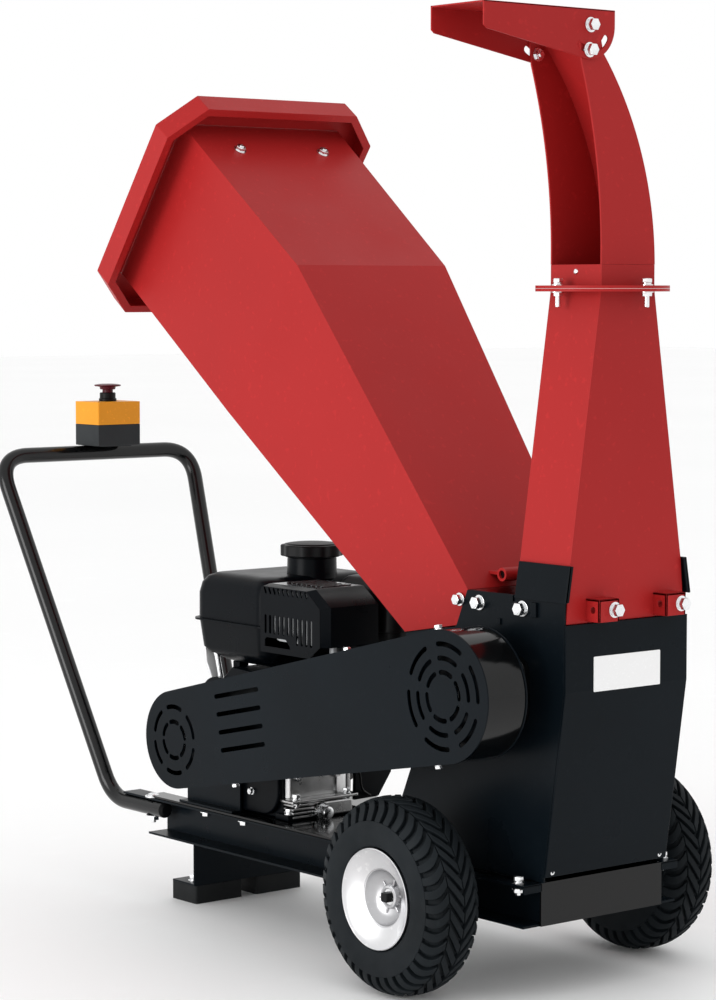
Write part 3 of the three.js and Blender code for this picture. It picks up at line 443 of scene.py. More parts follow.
def hex_bolt(at, direction, across=14):
    """A hexagon head on a spring washer and a flat one, standing out along a direction."""
    r, high = across / math.sqrt(3), across * 0.42
    flat, spring = across * 0.12, across * 0.3
    head = bevel(prism("z", circle((0, 0), r, 6), spring, spring + high), across * 0.05, 2, 50)
    top = spring + high
    dome = [(0, top - 0.5), (r * 0.72, top - 0.5), (r * 0.66, top + 0.35), (0, top + 0.35)]
    crown = lathe("z", dome, sides=32)
    split = lathe("z", [(r * 0.5, flat), (r * 0.84, flat), (r * 0.84, spring), (r * 0.5, spring)], sides=32)
    washer = lathe("z", [(0, 0), (r * 1.16, 0), (r * 1.16, flat * 0.8), (r * 1.1, flat), (0, flat)], sides=40)
    return moved(merge(head, crown, split, washer), towards(direction, at))


def nut(at, direction, across=13, tail=4):
    """A flanged nut with the bolt's end standing out of it."""
    high = across * 0.5
    body = prism("z", circle((0, 0), across / math.sqrt(3), 6), 0.8, high)
    bevel(body, across * 0.06, 2, 50, lambda e: min(v.co.z for v in e.verts) > 1)
    r = across * 0.28
    tip = high + tail
    end = lathe("z", [(0, 0), (r, 0), (r, tip - 0.8), (r - 0.8, tip), (0, tip)], sides=20)
    washer = lathe("z", [(0, 0), (across * 0.72, 0), (across * 0.72, 1.3), (0, 1.3)], sides=28)
    return moved(merge(body, end, washer), towards(direction, at))


def dome_bolt(at, direction, r=8, high=4):
    """A round-headed bolt or screw."""
    dome = [(r * math.cos(a), high * math.sin(a)) for a in (0, 0.35, 0.7, 1.05, 1.4)]
    return moved(lathe("z", [(0, 0), *dome, (0, high)], sides=28), towards(direction, at))


def screw(at, direction, r=5):
    """A pan-headed screw with a hexagon socket."""
    ring = [(r, 0), (r, 1.8), (r - 0.9, 2.8), (r * 0.45, 2.9), (r * 0.45, 1.2), (0, 1.2), (0, 0)]
    return moved(lathe("z", ring, sides=24), towards(direction, at))


# ---- Wheels -------------------------------------------------------------------------------------
# Half of the tyre's outer skin, from the crown to the bead, as (offset, radius).
SKIN_LINE = [
    (0, 130), (8, 129.8), (16, 128.6), (22, 126.6), (27, 123.8), (31, 120.4), (34.5, 116),
    (37.5, 111), (40, 105), (41.5, 99), (42, 90), (41.8, 80), (40.5, 70), (39, 67),
]
TREAD_DEEP = 6.5
TREAD_END = 8.7


def skin(t, sink=0):
    """A point (radius, offset) of the skin at place t of its line, sunk below it by a depth."""
    i = min(int(t), len(SKIN_LINE) - 2)
    (x0, r0), (x1, r1) = SKIN_LINE[i], SKIN_LINE[i + 1]
    x, r = x0 + (x1 - x0) * (t - i), r0 + (r1 - r0) * (t - i)
    before, after = SKIN_LINE[max(i - 1, 0)], SKIN_LINE[min(i + 2, len(SKIN_LINE) - 1)]
    along = Vector((after[0] - before[0], after[1] - before[1])).normalized()
    return r - along.x * sink, x + along.y * sink


def tyre():
    """The carcass: its tread base lies below the skin and steps up to the smooth sidewall."""
    base = [skin(t * 0.5, TREAD_DEEP) for t in range(16)] + [skin(8, 5.6), skin(TREAD_END - 0.15, 4.6)]
    wall = [skin(t) for t in (TREAD_END, 9, 9.5, 10, 10.5, 11, 11.5, 12, 12.6)]
    side = base + wall + [(67, 38), (66.5, 26)]
    return lathe("x", side + [(r, -x) for r, x in reversed(side[1:])], sides=114)


def tread_arm(side, angle, stops):
    """A tread bar through (place, turn) stops, standing on the carcass up to the skin."""
    half = 360 / LUGS * 0.3
    points = []
    for t, back in stops:
        for sink, width in (
            (TREAD_DEEP + 2, half * 1.12), (TREAD_DEEP + 2, -half * 1.12), (0, -half), (0, half)
        ):
            r, x = skin(t, sink)
            a = math.radians(angle + back + width)
            points.append((side * x, r * math.cos(a), r * math.sin(a)))
    n = len(stops) * 4
    faces = [(0, 1, 2, 3), (n - 4, n - 3, n - 2, n - 1)]
    for i in range(0, n - 4, 4):
        faces += [(i + j, i + (j + 1) % 4, i + 4 + (j + 1) % 4, i + 4 + j) for j in range(4)]
    return mesh_of(points, faces)


def tread():
    """A herringbone: each side has a straight arm near the middle and a curved one over the shoulder."""
    middle_arm = [(0.1, 13.5), (1.5, 6.6), (2.9, 0)]
    shoulder_arm = [(3.12, 0.2), (4, 3.2), (5, 5.6), (6, 6.9), (7, 7.4), (8, 7.2), (TREAD_END, 6.8)]
    arms = []
    for i in range(LUGS):
        for side in (-1, 1):
            arms.append(tread_arm(side, i * 360 / LUGS, middle_arm))
            arms.append(tread_arm(side, i * 360 / LUGS, shoulder_arm))
    return bevel(merge(*arms), 0.6, 1, 50)


def wheel_cone():
    """The wheel's painted rim and cone, its outer side towards +X."""
    profile = [
        (60, 38.5), (63.5, 42), (65, 43), (66, 42), (66, -30), (63, -31), (61.5, -28), (61, 10), (59, 24),
        (39, 22), (37.5, 26), (38.5, 28.4), (50, 33.6),
    ]
    return lathe("x", profile, sides=128)


def wheel_dish():
    profile = [
        (38.2, 22), (38.2, 27.6), (37, 27.2), (35, 23), (30, 17.5), (22, 13.5), (12, 12), (12, 8), (24, 9),
        (33, 16),
    ]
    hub = [(10.4, -20), (10.4, 18), (11.5, 19), (14.5, 18.4), (15.5, 16.5), (15.5, 11), (18, 9), (18, -20)]
    ribs = []
    for i in range(6):
        rib = bevel(block(15.5, 24, -1.6, 1.6, 9, 15.5), 0.8, 2, 50)
        ribs.append(moved(rib, turn(90, "y"), turn(60 * i + 20, "x")))
    return [lathe("x", profile, sides=96), lathe("x", hub, sides=64), *ribs]


def wheels():
    for name, side in (("left", -1), ("right", 1)):
        place = shift(side * WHEEL_X, 0, WHEEL_R) @ Matrix.Scale(side, 4, (1, 0, 0))
        body = "wheel_" + name
        rubber = [moved(p, place) for p in (tyre(), tread())]
        piece("tread_" + name, rubber, TYRE, body, ["tyre_" + name], 40)
        piece("cone_" + name, [moved(wheel_cone(), place)], WHEEL, body, ["rim_" + name])
        piece("dish_" + name, [moved(p, place) for p in wheel_dish()], DISH, body, ())
        valve = tube([(53, 0, 26), (55, 0, 34), (55.5, 0, 47)], 3, 12)
        outwards = Matrix.Scale(-1, 4, (1, 0, 0))
        stem = moved(valve, turn(90, "y"), turn(200, "x"), outwards, place)
        piece("valve_" + name, [stem], RUBBER, body, ())
        low, high = span("axle_screw_" + name)
        out = Matrix.Translation((low.x if side > 0 else high.x, 0, WHEEL_R)) @ turn(90 * side, "y")
        washer = lathe("z", [(0, 0), (12.5, 0), (12.5, 2), (0, 2)], sides=40)
        cap = bevel(prism("z", round_rect(12, 12, 1.5), 1.8, 11), 0.8, 2, 50)
        piece("axle_cap_" + name, [moved(washer, out)], ZINC, "machine", ["axle_screw_" + name])
        piece("axle_square_" + name, [moved(cap, out)], PLASTIC, "machine", ())
    dress(STEEL, "axle", width=0.6)


# ---- Handle and emergency stop ------------------------------------------------------------------
def rounded(corners, tangents, steps=16):
    points = [corners[0]]
    for i, length in enumerate(tangents):
        corner = corners[i + 1]
        back = corner + (corners[i] - corner).normalized() * length
        ahead = corner + (corners[i + 2] - corner).normalized() * length
        for k in range(steps + 1):
            t = k / steps
            points.append(back * (1 - t) ** 2 + corner * 2 * t * (1 - t) + ahead * t * t)
    return points + [corners[-1]]


def handle():
    def at(side, p, y=None):
        return Vector((side * p.x, p.y if y is None else y, p.z))

    corners = [
        at(-1, STUB, STUB_END), at(-1, STUB), at(-1, GRIP),
        at(1, GRIP), at(1, STUB), at(1, STUB, STUB_END),
    ]
    bent = tube(rounded(corners, [38, 55, 55, 38]), TUBE_R, 28)
    piece("handle", [bent], TUBE_COAT, "machine", ["handle_tube"])
    bolt_y = 683
    places = [(s * (STUB.x - 2), bolt_y) for s in (-1, 1)]
    heads = [dome_bolt((x, y, RAIL_HIGH.z), (0, 0, 1), 10.5, 6) for x, y in places]
    flat = [(0, RAIL_HIGH.z), (12.5, RAIL_HIGH.z), (12.5, RAIL_HIGH.z + 1.6), (0, RAIL_HIGH.z + 1.6)]
    rings = [lathe("z", flat, at) for at in places]
    ends = [nut((x, y, STUB.z - TUBE_R), (0, 0, -1), 15, 4) for x, y in places]
    piece("handle_bolts", heads + rings + ends, ZINC, "machine", ())
    end = STUB_END
    bung = [(0, end - 5), (8, end - 4.4), (11.6, end - 1.4), (11.6, end), (0, end)]
    plugs = [lathe("y", bung, (s * STUB.x, STUB.z), 32) for s in (-1, 1)]
    piece("handle_plugs", plugs, PLASTIC, "machine", ())


def stop_switch():
    low, high = span("stop_cover")
    base_low, base_high = span("stop_base")
    w, d, y = high.x - low.x, high.y - low.y, (low.y + high.y) / 2
    block_outline = round_rect(w, d, 2, (0, y))
    base = bevel(prism("z", block_outline, base_low.z + 1.6, base_high.z), 0.7, 3, 50)
    foot = prism("z", round_rect(52, d + 14, 3, (0, y + 10)), base_low.z, base_low.z + 2)
    piece("stop_box", [base, foot], GREY, "machine", ["stop_base"])
    cover = bevel(prism("z", block_outline, low.z, high.z, [circle((0, y), 9.3, 32)]), 0.8, 3, 50)
    piece("stop_lid", [cover], YELLOW, "machine", ["stop_cover"])
    z0, z1 = span("stop_collar")[0].z, span("stop_collar")[1].z
    collar = [(9.3, z0), (14, z0), (14, z0 + 4), (12.6, z0 + 5), (12.6, z1 - 1), (11.8, z1), (9.3, z1)]
    piece("stop_ring", [lathe("z", collar, (0, y))], PLASTIC, "machine", ["stop_collar"])
    bottom, top = span("stop_button")[0].z, span("stop_button")[1].z
    r = (span("stop_button")[1].x - span("stop_button")[0].x) / 2
    neck = z1 + 4.5
    knob = [(0, bottom), (8.4, bottom), (8.4, neck), (12, neck + 0.6), (13, max(neck + 1.2, top - 5))]
    knob += [(r - 1, top - 4), (r, top - 3.4), (r, top - 1.8)]
    knob += [(r * k, top - 1.8 * k**3) for k in (0.93, 0.75, 0.5, 0.25)] + [(0, top)]
    piece("stop_mushroom", [lathe("z", knob, (0, y))], CRIMSON, "stop_knob", ["stop_button"])


# ---- Frame --------------------------------------------------------------------------------------
def chassis():
    dress(BLACK, "rail_left", "rail_right", "rear_leg", width=0.9)
    dress(GLOSS, "deck_plate", width=0.9)
    dress(RUBBER, "foot_left", "foot_right", width=1.2)
    under = RAIL_HIGH.z - 3
    bolts = []
    for side in (-1, 1):
        bolts += [nut((side * 122, y, under), (0, 0, -1), 13, 1) for y in (547, 455)]
        bolts.append(hex_bolt((side * 129, -138, RAIL_HIGH.z + 3.3), (0, 0, 1), 12))
        bolts.append(nut((side * 129, -138, under), (0, 0, -1), 12))
        bolts.append(hex_bolt((side * 87, 628, 30.6), (0, 0, 1), 13))
    piece("frame_bolts", bolts, ZINC, "machine", ())
    front = span("deck_plate")[0].y
    tabs = []
    for side in (-1, 1):
        a, b = sorted((side * (HOUSE_X - 2), side * 138))
        tabs.append(bevel(block(a, b, front, -118, RAIL_HIGH.z + 0.3, RAIL_HIGH.z + 3.3), 0.8))
        tabs.append(bevel(block(a, b, front, front + 3, 146, RAIL_HIGH.z + 3), 0.8))
    piece("frame_tabs", tabs, BLACK, "machine", ())


# ---- Housing ------------------------------------------------------------------------------------
def housing_plates():
    """A side plate with its bearing hole, and the shoulder plate that leans with the chute."""
    foot = DECK_Z + 0.3
    outline = [
        (-162, foot), (152, foot), (101, 272), (112, 453.6), (9.4, 471.4), (-13, 521.5), (-109, 523),
        (-199, 525), (-198, 505), (-198, 406), (-162, 165),
    ]
    side = bevel(prism("x", outline, HOUSE_X - 3, HOUSE_X, [circle((DRUM.y, DRUM.z), 17, 48)]), 0.7, 2, 50)
    low, high = (-HOUSE_X + 0.2, 519), (-100.6, 566)
    lean = [low, high, (high[0] - 3, high[1]), (low[0] - 3.4, low[1])]
    shoulder = bevel(prism("y", [(-x, z) for x, z in lean], -203.5, -108), 0.6, 2, 50)
    edge = [(97.4, 565.6), (103.6, 565.6), (111.4, 520), (104.8, 520)]
    wrap = bevel(prism("y", edge, -203.5, -200.9), 0.5, 2, 50)
    clip = bevel(block(HOUSE_X, HOUSE_X + 4, -149, -139, 497, 516), 0.8)
    tabs = [
        bevel(block(HOUSE_X, HOUSE_X + 2.5, y, y + 7, z, z + 8), 0.6) for y, z in ((-104, 514), (-80, 482))
    ]
    return [side, shoulder, wrap, clip, *tabs]


def housing():
    dress(BLACK, "front_panel", "rear_panel", "rotor_casing", width=0.7)
    dress(GLOSS, "hinge_plate", "bearing_left", "bearing_right", width=1.0)
    piece("side_right", housing_plates(), BLACK, "machine", ["housing_side_right"])
    left = [mirrored(p) for p in housing_plates()]
    piece("side_left", left, BLACK, "machine", ["housing_side_left"])
    bolts = []
    for side in (-1, 1):
        x = side * HOUSE_X
        bolts += [hex_bolt((x, y, z), (side, 0, 0), size) for y, z, size in HOUSE_BOLTS]
        for dz in (-BEARING_BOLT, BEARING_BOLT):
            for dy in (-BEARING_BOLT, BEARING_BOLT):
                bolts.append(hex_bolt((side * (HOUSE_X + 9), DRUM.y + dy, DRUM.z + dz), (side, 0, 0), 11))
        bolts += [screw((side * 96, -163.5, 171), (0, -1, 0.15), 4)]
    piece("housing_bolts", bolts, ZINC, "machine", ())
    plate = bevel(prism("y", round_rect(118, 45, 1.2, (-1, 426)), -202.2, -201.3), 0.3, 2, 50)
    piece("blank_plate", [plate], WHITE, "machine", ())


# ---- Belt guard ---------------------------------------------------------------------------------
def vents():
    """Rings of bent slots over both shafts, and four straight slots between them."""
    rings = [((DRUM.y, DRUM.z), r, 21) for r in (31, 49, 67)]
    rings += [((CRANK.y, CRANK.z), r, 11) for r in (26, 47.5)]
    holes = [
        arc_slot(centre, r, VENT_W, 60 * i + start, 60 * i + start + 38)
        for centre, r, start in rings
        for i in range(6)
    ]
    fall = math.degrees(math.atan2(DRUM.z - CRANK.z, DRUM.y - CRANK.y)) + 180
    return holes + [slot((349 - 5 * i, 355.6 - 24.7 * i), 104, VENT_W, fall) for i in range(4)]


def guard():
    x0, x1 = GUARD_LOW.x, GUARD_HIGH.x
    face = prism("x", belt_outline(), x0, x0 + 2, vents())
    bevel(face, 0.7, 2, 50, lambda e: max(v.co.x for v in e.verts) < x0 + 0.1)
    wall = prism("x", belt_outline(-1.6), x0 + 1.2, x1, [belt_outline(-3.6)])
    piece("guard_face", [face], BLACK, "machine", ["belt_guard_cover"])
    piece("guard_wall", [wall], GLOSS, "machine", ())
    dress(BLACK, "belt_guard_back", "guard_bracket", width=0.6)
    along = Vector((0, CRANK.y - DRUM.y, CRANK.z - DRUM.z)).normalized()
    lean = math.acos((GUARD_R["drum"] - GUARD_R["crank"]) / math.hypot(CRANK.z - DRUM.z, CRANK.y - DRUM.y))
    bolts = [hex_bolt((x0 + 12, DRUM.y + 22, DRUM.z + 81), (0, 0.26, 0.97), 10)]
    for side, reach in ((1, 215), (-1, 505), (-1, 60)):
        out = Matrix.Rotation(side * lean, 3, "X") @ along
        at = Vector((x0 + 30, DRUM.y, DRUM.z)) + out * (GUARD_R["drum"] - 1.6)
        edge = out.cross(Vector((side, 0, 0)))
        bolts.append(hex_bolt(at + edge * reach, out, 10))
    piece("guard_screws", bolts, ZINC, "machine", ())
    dress(SATIN, "engine_pulley", "rotor_pulley", width=0.8)
    dress(STEEL, "crankshaft", "rotor_shaft", "rotor_drum", width=0.8)
    dress(BLADE, "blade_upper", "blade_lower", "anvil", width=0.4)
    dress(RUBBER, "v_belt", width=0.8)


# ---- Engine -------------------------------------------------------------------------------------
def squircle_stack(levels, steps=8):
    """A closed body through level outlines: each level is (z, centre, width, depth, corner radius)."""
    loops = [[(x, y, z) for x, y in round_rect(w, d, r, c, steps)] for z, c, w, d, r in levels]
    k = len(loops[0])
    points = [p for loop in loops for p in loop]
    faces = [tuple(range(k)), tuple(range(len(points) - k, len(points)))]
    for i in range(len(loops) - 1):
        faces += [
            (i * k + j, i * k + (j + 1) % k, (i + 1) * k + (j + 1) % k, (i + 1) * k + j) for j in range(k)
        ]
    return mesh_of(points, faces)


def tank():
    low, high = span("fuel_tank")
    cap_low, cap_high = span("fuel_cap")
    cap = ((cap_low.x + cap_high.x) / 2, (cap_low.y + cap_high.y) / 2)
    w, d = high.x - low.x - 12, high.y - low.y - 12
    x, y = (low.x + high.x) / 2, (low.y + high.y) / 2
    seam = 430
    top = 499
    levels = [
        (low.z, (x, y - 20), w - 60, d - 66, 22), (low.z + 3, (x, y - 17), w - 44, d - 50, 24),
        (low.z + 13, (x, y - 6), w - 16, d - 22, 26), (low.z + 20, (x, y - 2), w - 8, d - 10, 26),
        (seam - 4, (x, y), w - 2, d - 2, 27), (seam - 1.6, (x, y), w - 1, d - 1, 28),
        (seam - 1.4, (x, y), w + 11, d + 11, 31), (seam + 1.2, (x, y), w + 11, d + 11, 31),
        (seam + 1.6, (x, y), w, d, 28), (top - 30, (x, y), w - 1, d - 1, 27),
        (top - 15, (x, y), w - 7, d - 9, 26), (top - 6, (x, y - 1), w - 18, d - 22, 25),
        (top - 1.5, (x, y - 2), w - 36, d - 42, 24), (top, (x, y - 3), w - 60, d - 70, 20),
    ]
    collar = [(20, top - 6), (38, top - 6), (36.5, top + 1), (36, high.z - 2), (35, high.z), (20, high.z)]
    neck = lathe("z", collar, cap, 64)
    piece("tank_shell", [squircle_stack(levels), neck], SATIN, "machine", ["fuel_tank"], 42)
    z = cap_low.z + 16
    lobes = [(46 - 2.6 * abs(math.sin(math.radians(i * 15))) ** 2, math.radians(i * 3)) for i in range(120)]
    rim = [(cap[0] + r * math.cos(a), cap[1] + r * math.sin(a)) for r, a in lobes]
    skirt = bevel(prism("z", rim, z + 1, z + 18), 2.4, 4, 60)
    crown = lathe("z", [(0, z + 17), (38, z + 17), (36, z + 19.6), (30, z + 20.4), (0, z + 20.8)], cap, 72)
    stopper = [(0, z), (37, z), (37, z + 2), (19, z + 2), (19, cap_low.z), (0, cap_low.z)]
    plug = lathe("z", stopper, cap, 48)
    piece("cap_look", [skirt, crown, plug], PLASTIC, "tank_cap", ["fuel_cap"])


def exhaust():
    """The heat guard: a slotted face set in by a bevel, with a louvred top."""
    low, high = span("muffler_guard")
    foot, t, cut = low.z + 1, 1.8, 11

    def outline(inset):
        y0, y1, z1 = low.y + inset, high.y, high.z - inset * 0.25
        corner = [(y1 - 7, z1), (y1 - 2, z1 - 2), (y1, z1 - 8)]
        front = [(y0 + 33 - inset * 0.3, z1), (y0, z1 - 23), (y0, foot + 17)]
        return [(y0 + 24, foot - 0.5), (y1, foot - 0.5), *corner[::-1], *front]

    # The first four upright slits reach lower than the others.
    pitch, long_ones = 10.4, 4
    slits = [slot((low.y + 31 + i * pitch, 434), 38, 4.8, 90) for i in range(long_ones)]
    slits += [slot((low.y + 31 + i * pitch, 440), 27, 4.8, 90) for i in range(long_ones, 11)]
    slits += [slot((low.y + 42 + i * pitch, high.z - 8.5), 10.5, 4, 62) for i in range(10)]
    rear = high.y
    notch = [
        (rear - 68, 408), (rear - 10, 408), (rear - 10, 418),
        (rear - 14, 421), (rear - 58, 421), (rear - 68, 412),
    ]
    face = prism("x", outline(cut), low.x, low.x + t, [*slits, notch])
    bevel(face, 0.4, 1, 50, lambda e: max(v.co.x for v in e.verts) < low.x + 0.1)
    rings = [(low.x + 0.6, cut), (low.x + cut, 0), (high.x, 0), (high.x, t)]
    rings += [(low.x + cut + t, t), (low.x + t, cut + t)]
    loops = [[(x, y, z) for y, z in outline(inset)] for x, inset in rings]
    k = len(loops[0])
    walls = []
    for i in range(len(loops)):
        a, b = i * k, (i + 1) % len(loops) * k
        walls += [(a + j, a + j + 1, b + j + 1, b + j) for j in range(1, k - 1)]
    shell = mesh_of([p for loop in loops for p in loop], walls)
    piece("heat_guard", [face, shell], SATIN, "machine", ["muffler_guard"])
    sheet = bevel(block(low.x + 13, high.x, low.y + 36, high.y - 10, high.z - 0.4, high.z + 0.5), 0.3)
    rows = range(int(low.y) + 46, int(high.y) - 18, 11)
    ribs = [bevel(block(low.x + 30, high.x - 12, y, y + 3.2, high.z + 0.4, high.z + 2), 0.5) for y in rows]
    piece("heat_guard_top", [sheet, *ribs], MESH, "machine", ())
    dress(STEEL, "muffler", width=2.0)


def intake():
    low, high = span("air_filter")
    c = ((low.x + high.x) / 2, (low.y + high.y) / 2)
    w, d = high.x - low.x - 6, high.y - low.y - 6
    z0, z1 = low.z + 17, high.z
    body = [(z0, c, w - 10, d - 10, 18), (z0 + 6, c, w, d, 20), (z0 + 26, c, w, d, 20)]
    lid = [
        (z0 + 27, c, w + 6, d + 6, 23), (z0 + 30, c, w + 6, d + 6, 23), (z1 - 20, c, w + 3, d + 3, 22),
        (z1 - 8, c, w - 6, d - 6, 20), (z1 - 2, c, w - 20, d - 20, 16), (z1, c, w - 34, d - 34, 12),
    ]
    throat = bevel(block(-4, 18, 300, 344, low.z, z0 + 1), 2)
    shell = [squircle_stack(body), squircle_stack(lid), throat]
    piece("filter_box", shell, PLASTIC, "machine", ["air_filter"], 42)
    edges = [c[0] + s * (w / 2 + 0.2) for s in (-1, 1)]
    clips = [bevel(block(x - 1.4, x + 1.4, c[1] - 9, c[1] + 9, z0 + 14, z0 + 38), 0.8) for x in edges]
    piece("filter_clips", clips, ZINC, "machine", ())


def block_parts():
    """The crankcase with its feet and posts, dark as painted shade where its belt side lies in shadow, and
    the bright castings in front of it.
    """
    low, high = span("crankcase")
    x0, x1 = low.x + 12, high.x
    foot = DECK_Z + 0.3
    outline = [(398, foot), (592, foot), (592, 200)] + arc((530, 272), 66, -12, 60, 10)
    outline += [(520, 364), (432, 360), (404, 336), (398, 225)]
    hull = bevel(prism("x", outline, x0, x1), 3, 3, 50)
    sump = bevel(block(-46, 14, 374, 402, foot + 1, 181), 4, 3)
    ledge = bevel(block(x0 - 2, 22, 372, 402, 182, 187), 1.6, 3)
    plan = [(x0 + 4, 400), (x0 + 8, 391), (-4, 391), (4, 378), (12, 378), (20, 400)]
    wall = bevel(prism("z", plan, 186, 226), 2, 3, 30)
    fins = [
        bevel(block(x0 + 2, -44, 376, 402, foot + 3 + 5.6 * i, foot + 6 + 5.6 * i), 0.8) for i in range(4)
    ]
    toes = [bevel(block(x0 - 6, x1 - 6, y, y + 30, foot, foot + 9), 2) for y in (378, 566)]
    tank_z = span("fuel_tank")[0].z - 0.3
    posts = [bevel(block(x, x + 18, y, y + 16, 340, tank_z), 2) for x in (-70, 4) for y in (446, 536)]
    return [hull, *toes, *posts], [sump, ledge, wall, *fins]


def engine():
    case, castings = block_parts()
    piece("engine_block_painted_shade", case, SATIN, "machine", ["crankcase"], 40)
    piece("engine_castings", castings, ALLOY, "machine", (), 40)
    low, high = span("crankcase")
    foot = DECK_Z + 0.3
    # A dark plate with the crankshaft's boss on it stands over the belt side of the crankcase: painted shade
    # where that side lies in shadow.
    face = round_rect(188, 186, 36, (CRANK.y - 4, 254), 8)
    cover = bevel(prism("x", face, low.x + 4, low.x + 12.4), 2.5, 3, 50)
    rise = [(11, low.x), (34, low.x), (40, low.x + 3), (44, low.x + 6), (11, low.x + 6)]
    boss = lathe("x", rise, (CRANK.y, CRANK.z))
    piece("engine_painted_shade_cover", [cover, boss], SATIN, "machine", ())
    turns = [math.radians(a) for a in range(20, 360, 45)]
    around = [(CRANK.y - 4 + 78 * math.cos(a), CRANK.z - 12 + 76 * math.sin(a)) for a in turns]
    bolts = [hex_bolt((low.x + 4, y, z), (-1, 0, 0), 8) for y, z in around]
    bolts += [
        hex_bolt((x, y, foot + 9), (0, 0, 1), 11) for x in (low.x + 14, high.x - 20) for y in (386, 580)
    ]
    for x in (-86, 6):
        bolts.append(merge(hex_bolt((x, 380, 187), (0, 0, 1), 11), nut((x, 380, 182), (0, 0, -1), 10, 2)))
    bolts += [hex_bolt((x, 390.6, z), (0, -1, 0), 8) for x, z in ((-74, 216), (-8, 216))]
    piece("engine_bolts", bolts, ZINC, "machine", ())
    plug = middle("oil_drain_plug")
    turned = [(0, 356), (6, 356), (8.4, 357), (9, 359), (9, 369), (12.6, 369), (13, 372), (13, 375), (0, 375)]
    drain = [
        lathe("y", turned, (plug.x + 6, 167), 40),
        prism("y", circle((plug.x + 6, 167), 10.4, 6), 359, 368),
    ]
    piece("drain_plug", drain, ZINC, "machine", ["oil_drain_plug"])
    dress(ALLOY, "cylinder", width=0.5)
    dress(SATIN, "valve_cover", "fan_shroud", width=1.5)
    dress(SATIN, "recoil_cover", width=1.0)
    dress(PLASTIC, "starter_grip", width=2.5)
    dress(PLASTIC, "throttle_lever", width=1.0)
    dress(CRIMSON, "engine_switch", width=0.8)
    # An air deflector hangs from the fan shroud in front of the crankcase.
    baffle = [(34, 171), (80, 172), (104, 206), (104, 232), (36, 232)]
    plate = bevel(prism("y", baffle, 396, 402), 1.5, 2, 30)
    piece("air_baffle", [plate], SATIN, "machine", ())
    route = [Vector(p) for p in ((0, 384, 226), (24, 372, 222), (30, 376, 190), (60, 392, 176))]
    cable = tube(rounded(route, [14, 14], 10), 1.8, 12)
    piece("engine_cable", [cable], PLASTIC, "machine", ())
    tank()
    exhaust()
    intake()
    bent = [(-96, 404), (-82, 404), (-70, 352), (-60, 330), (-78, 330), (-92, 366)]
    brace = bevel(prism("y", bent, 586, 589), 1, 2)
    strut = tube([(-84, 560, 338), (-88, 566, 376), (-90, 572, 396)], 4, 16)
    piece("tank_brace", [brace], WHITE, "machine", ())
    piece("tank_strut", [strut], ZINC, "machine", ())


# ---- Hopper -------------------------------------------------------------------------------------
def hopper():
    dress(RED, "hopper_body", "hopper_rim", width=1.0)
    flap_low, flap_high = span("rubber_flap")
    x, cuts = flap_high.x, 4
    comb = [(-x, flap_high.z), (x, flap_high.z)]
    for i in range(cuts + 1):
        right = x - i * 2 * x / (cuts + 1)
        left = x - (i + 1) * 2 * x / (cuts + 1)
        comb += [(right - 0.6, flap_low.z), (left + 0.6, flap_low.z)]
        if i < cuts:
            comb.append((left, flap_low.z + 150))
    curtain = bevel(prism("y", comb, flap_low.y, flap_high.y), 0.7, 2, 50)
    piece("curtain", [curtain], RUBBER, "flap", ["rubber_flap"])
    rise = Vector((0, -HOPPER_SLOPE, 1)).normalized()
    y = 525
    z = HOPPER_FOLD[1] + (y - HOPPER_FOLD[0]) * HOPPER_SLOPE
    bolts = [nut((x, y, z), rise, 13, 2) for x in (-74, 78)]
    piece("hopper_bolts", bolts, ZINC, "hopper", ())


# ---- Discharge chute ----------------------------------------------------------------------------
def ring_at(z, half, grow=0):
    y0, y1 = CHUTE.y - CHUTE_HALF, CHUTE.y + CHUTE_HALF
    side, low, high = half + grow, y0 - grow, y1 + grow
    return [(-side, low, z), (side, low, z), (side, high, z), (-side, high, z)]


def pipe(stations):
    """A four-sided tube of sheet through (z, half width) stations."""
    outer = [ring_at(z, half) for z, half in stations]
    inner = [ring_at(z, half, -SKIN) for z, half in stations]
    points = [p for ring in outer + inner[::-1] for p in ring]
    count = len(outer) * 2
    faces = []
    for i in range(count):
        a, b = i * 4, (i + 1) % count * 4
        faces += [(a + j, a + (j + 1) % 4, b + (j + 1) % 4, b + j) for j in range(4)]
    return mesh_of(points, faces)


def flange(z):
    inside = [(x, y) for x, y, _ in ring_at(0, CHUTE_HALF, -0.5)]
    ring = prism("z", circle((0, CHUTE.y), FLANGE_R, 96), z, z + FLANGE_T, [inside[::-1]])
    return bevel(ring, 0.25, 2, 60)


def bracket(x):
    """A bracket bent up from sheet: a front, a roof and two sides, one with a hole through it."""
    y0 = CHUTE.y - CHUTE_HALF
    half, front = CLAMP["half"], y0 - CLAMP["deep"]
    low, high, t = CLAMP["z0"], CLAMP["z1"], 3
    square = [(x - half, low), (x + half, low), (x + half, high), (x - half, high)]
    face = prism("y", square, front, front + t)
    hole = circle((y0 - 12, 509), 4.4, 32)
    wing = [(front, low), (y0 + 0.5, low), (y0 + 0.5, high), (front, high)]
    sides = [prism("x", wing, a, a + t, [hole]) for a in (x - half, x + half - t)]
    roof = block(x - half, x + half, front, y0 + 0.5, high - t, high)
    return [bevel(p, 0.6, 2, 50) for p in (face, *sides, roof)]


def bolt_ring(z, direction, tail=0):
    places = [(-65, 14), (15, -65), (48, 48)]
    if tail:
        return [nut((x, CHUTE.y + y, z), direction, 12, tail) for x, y in places]
    return [hex_bolt((x, CHUTE.y + y, z), direction, 12) for x, y in places]


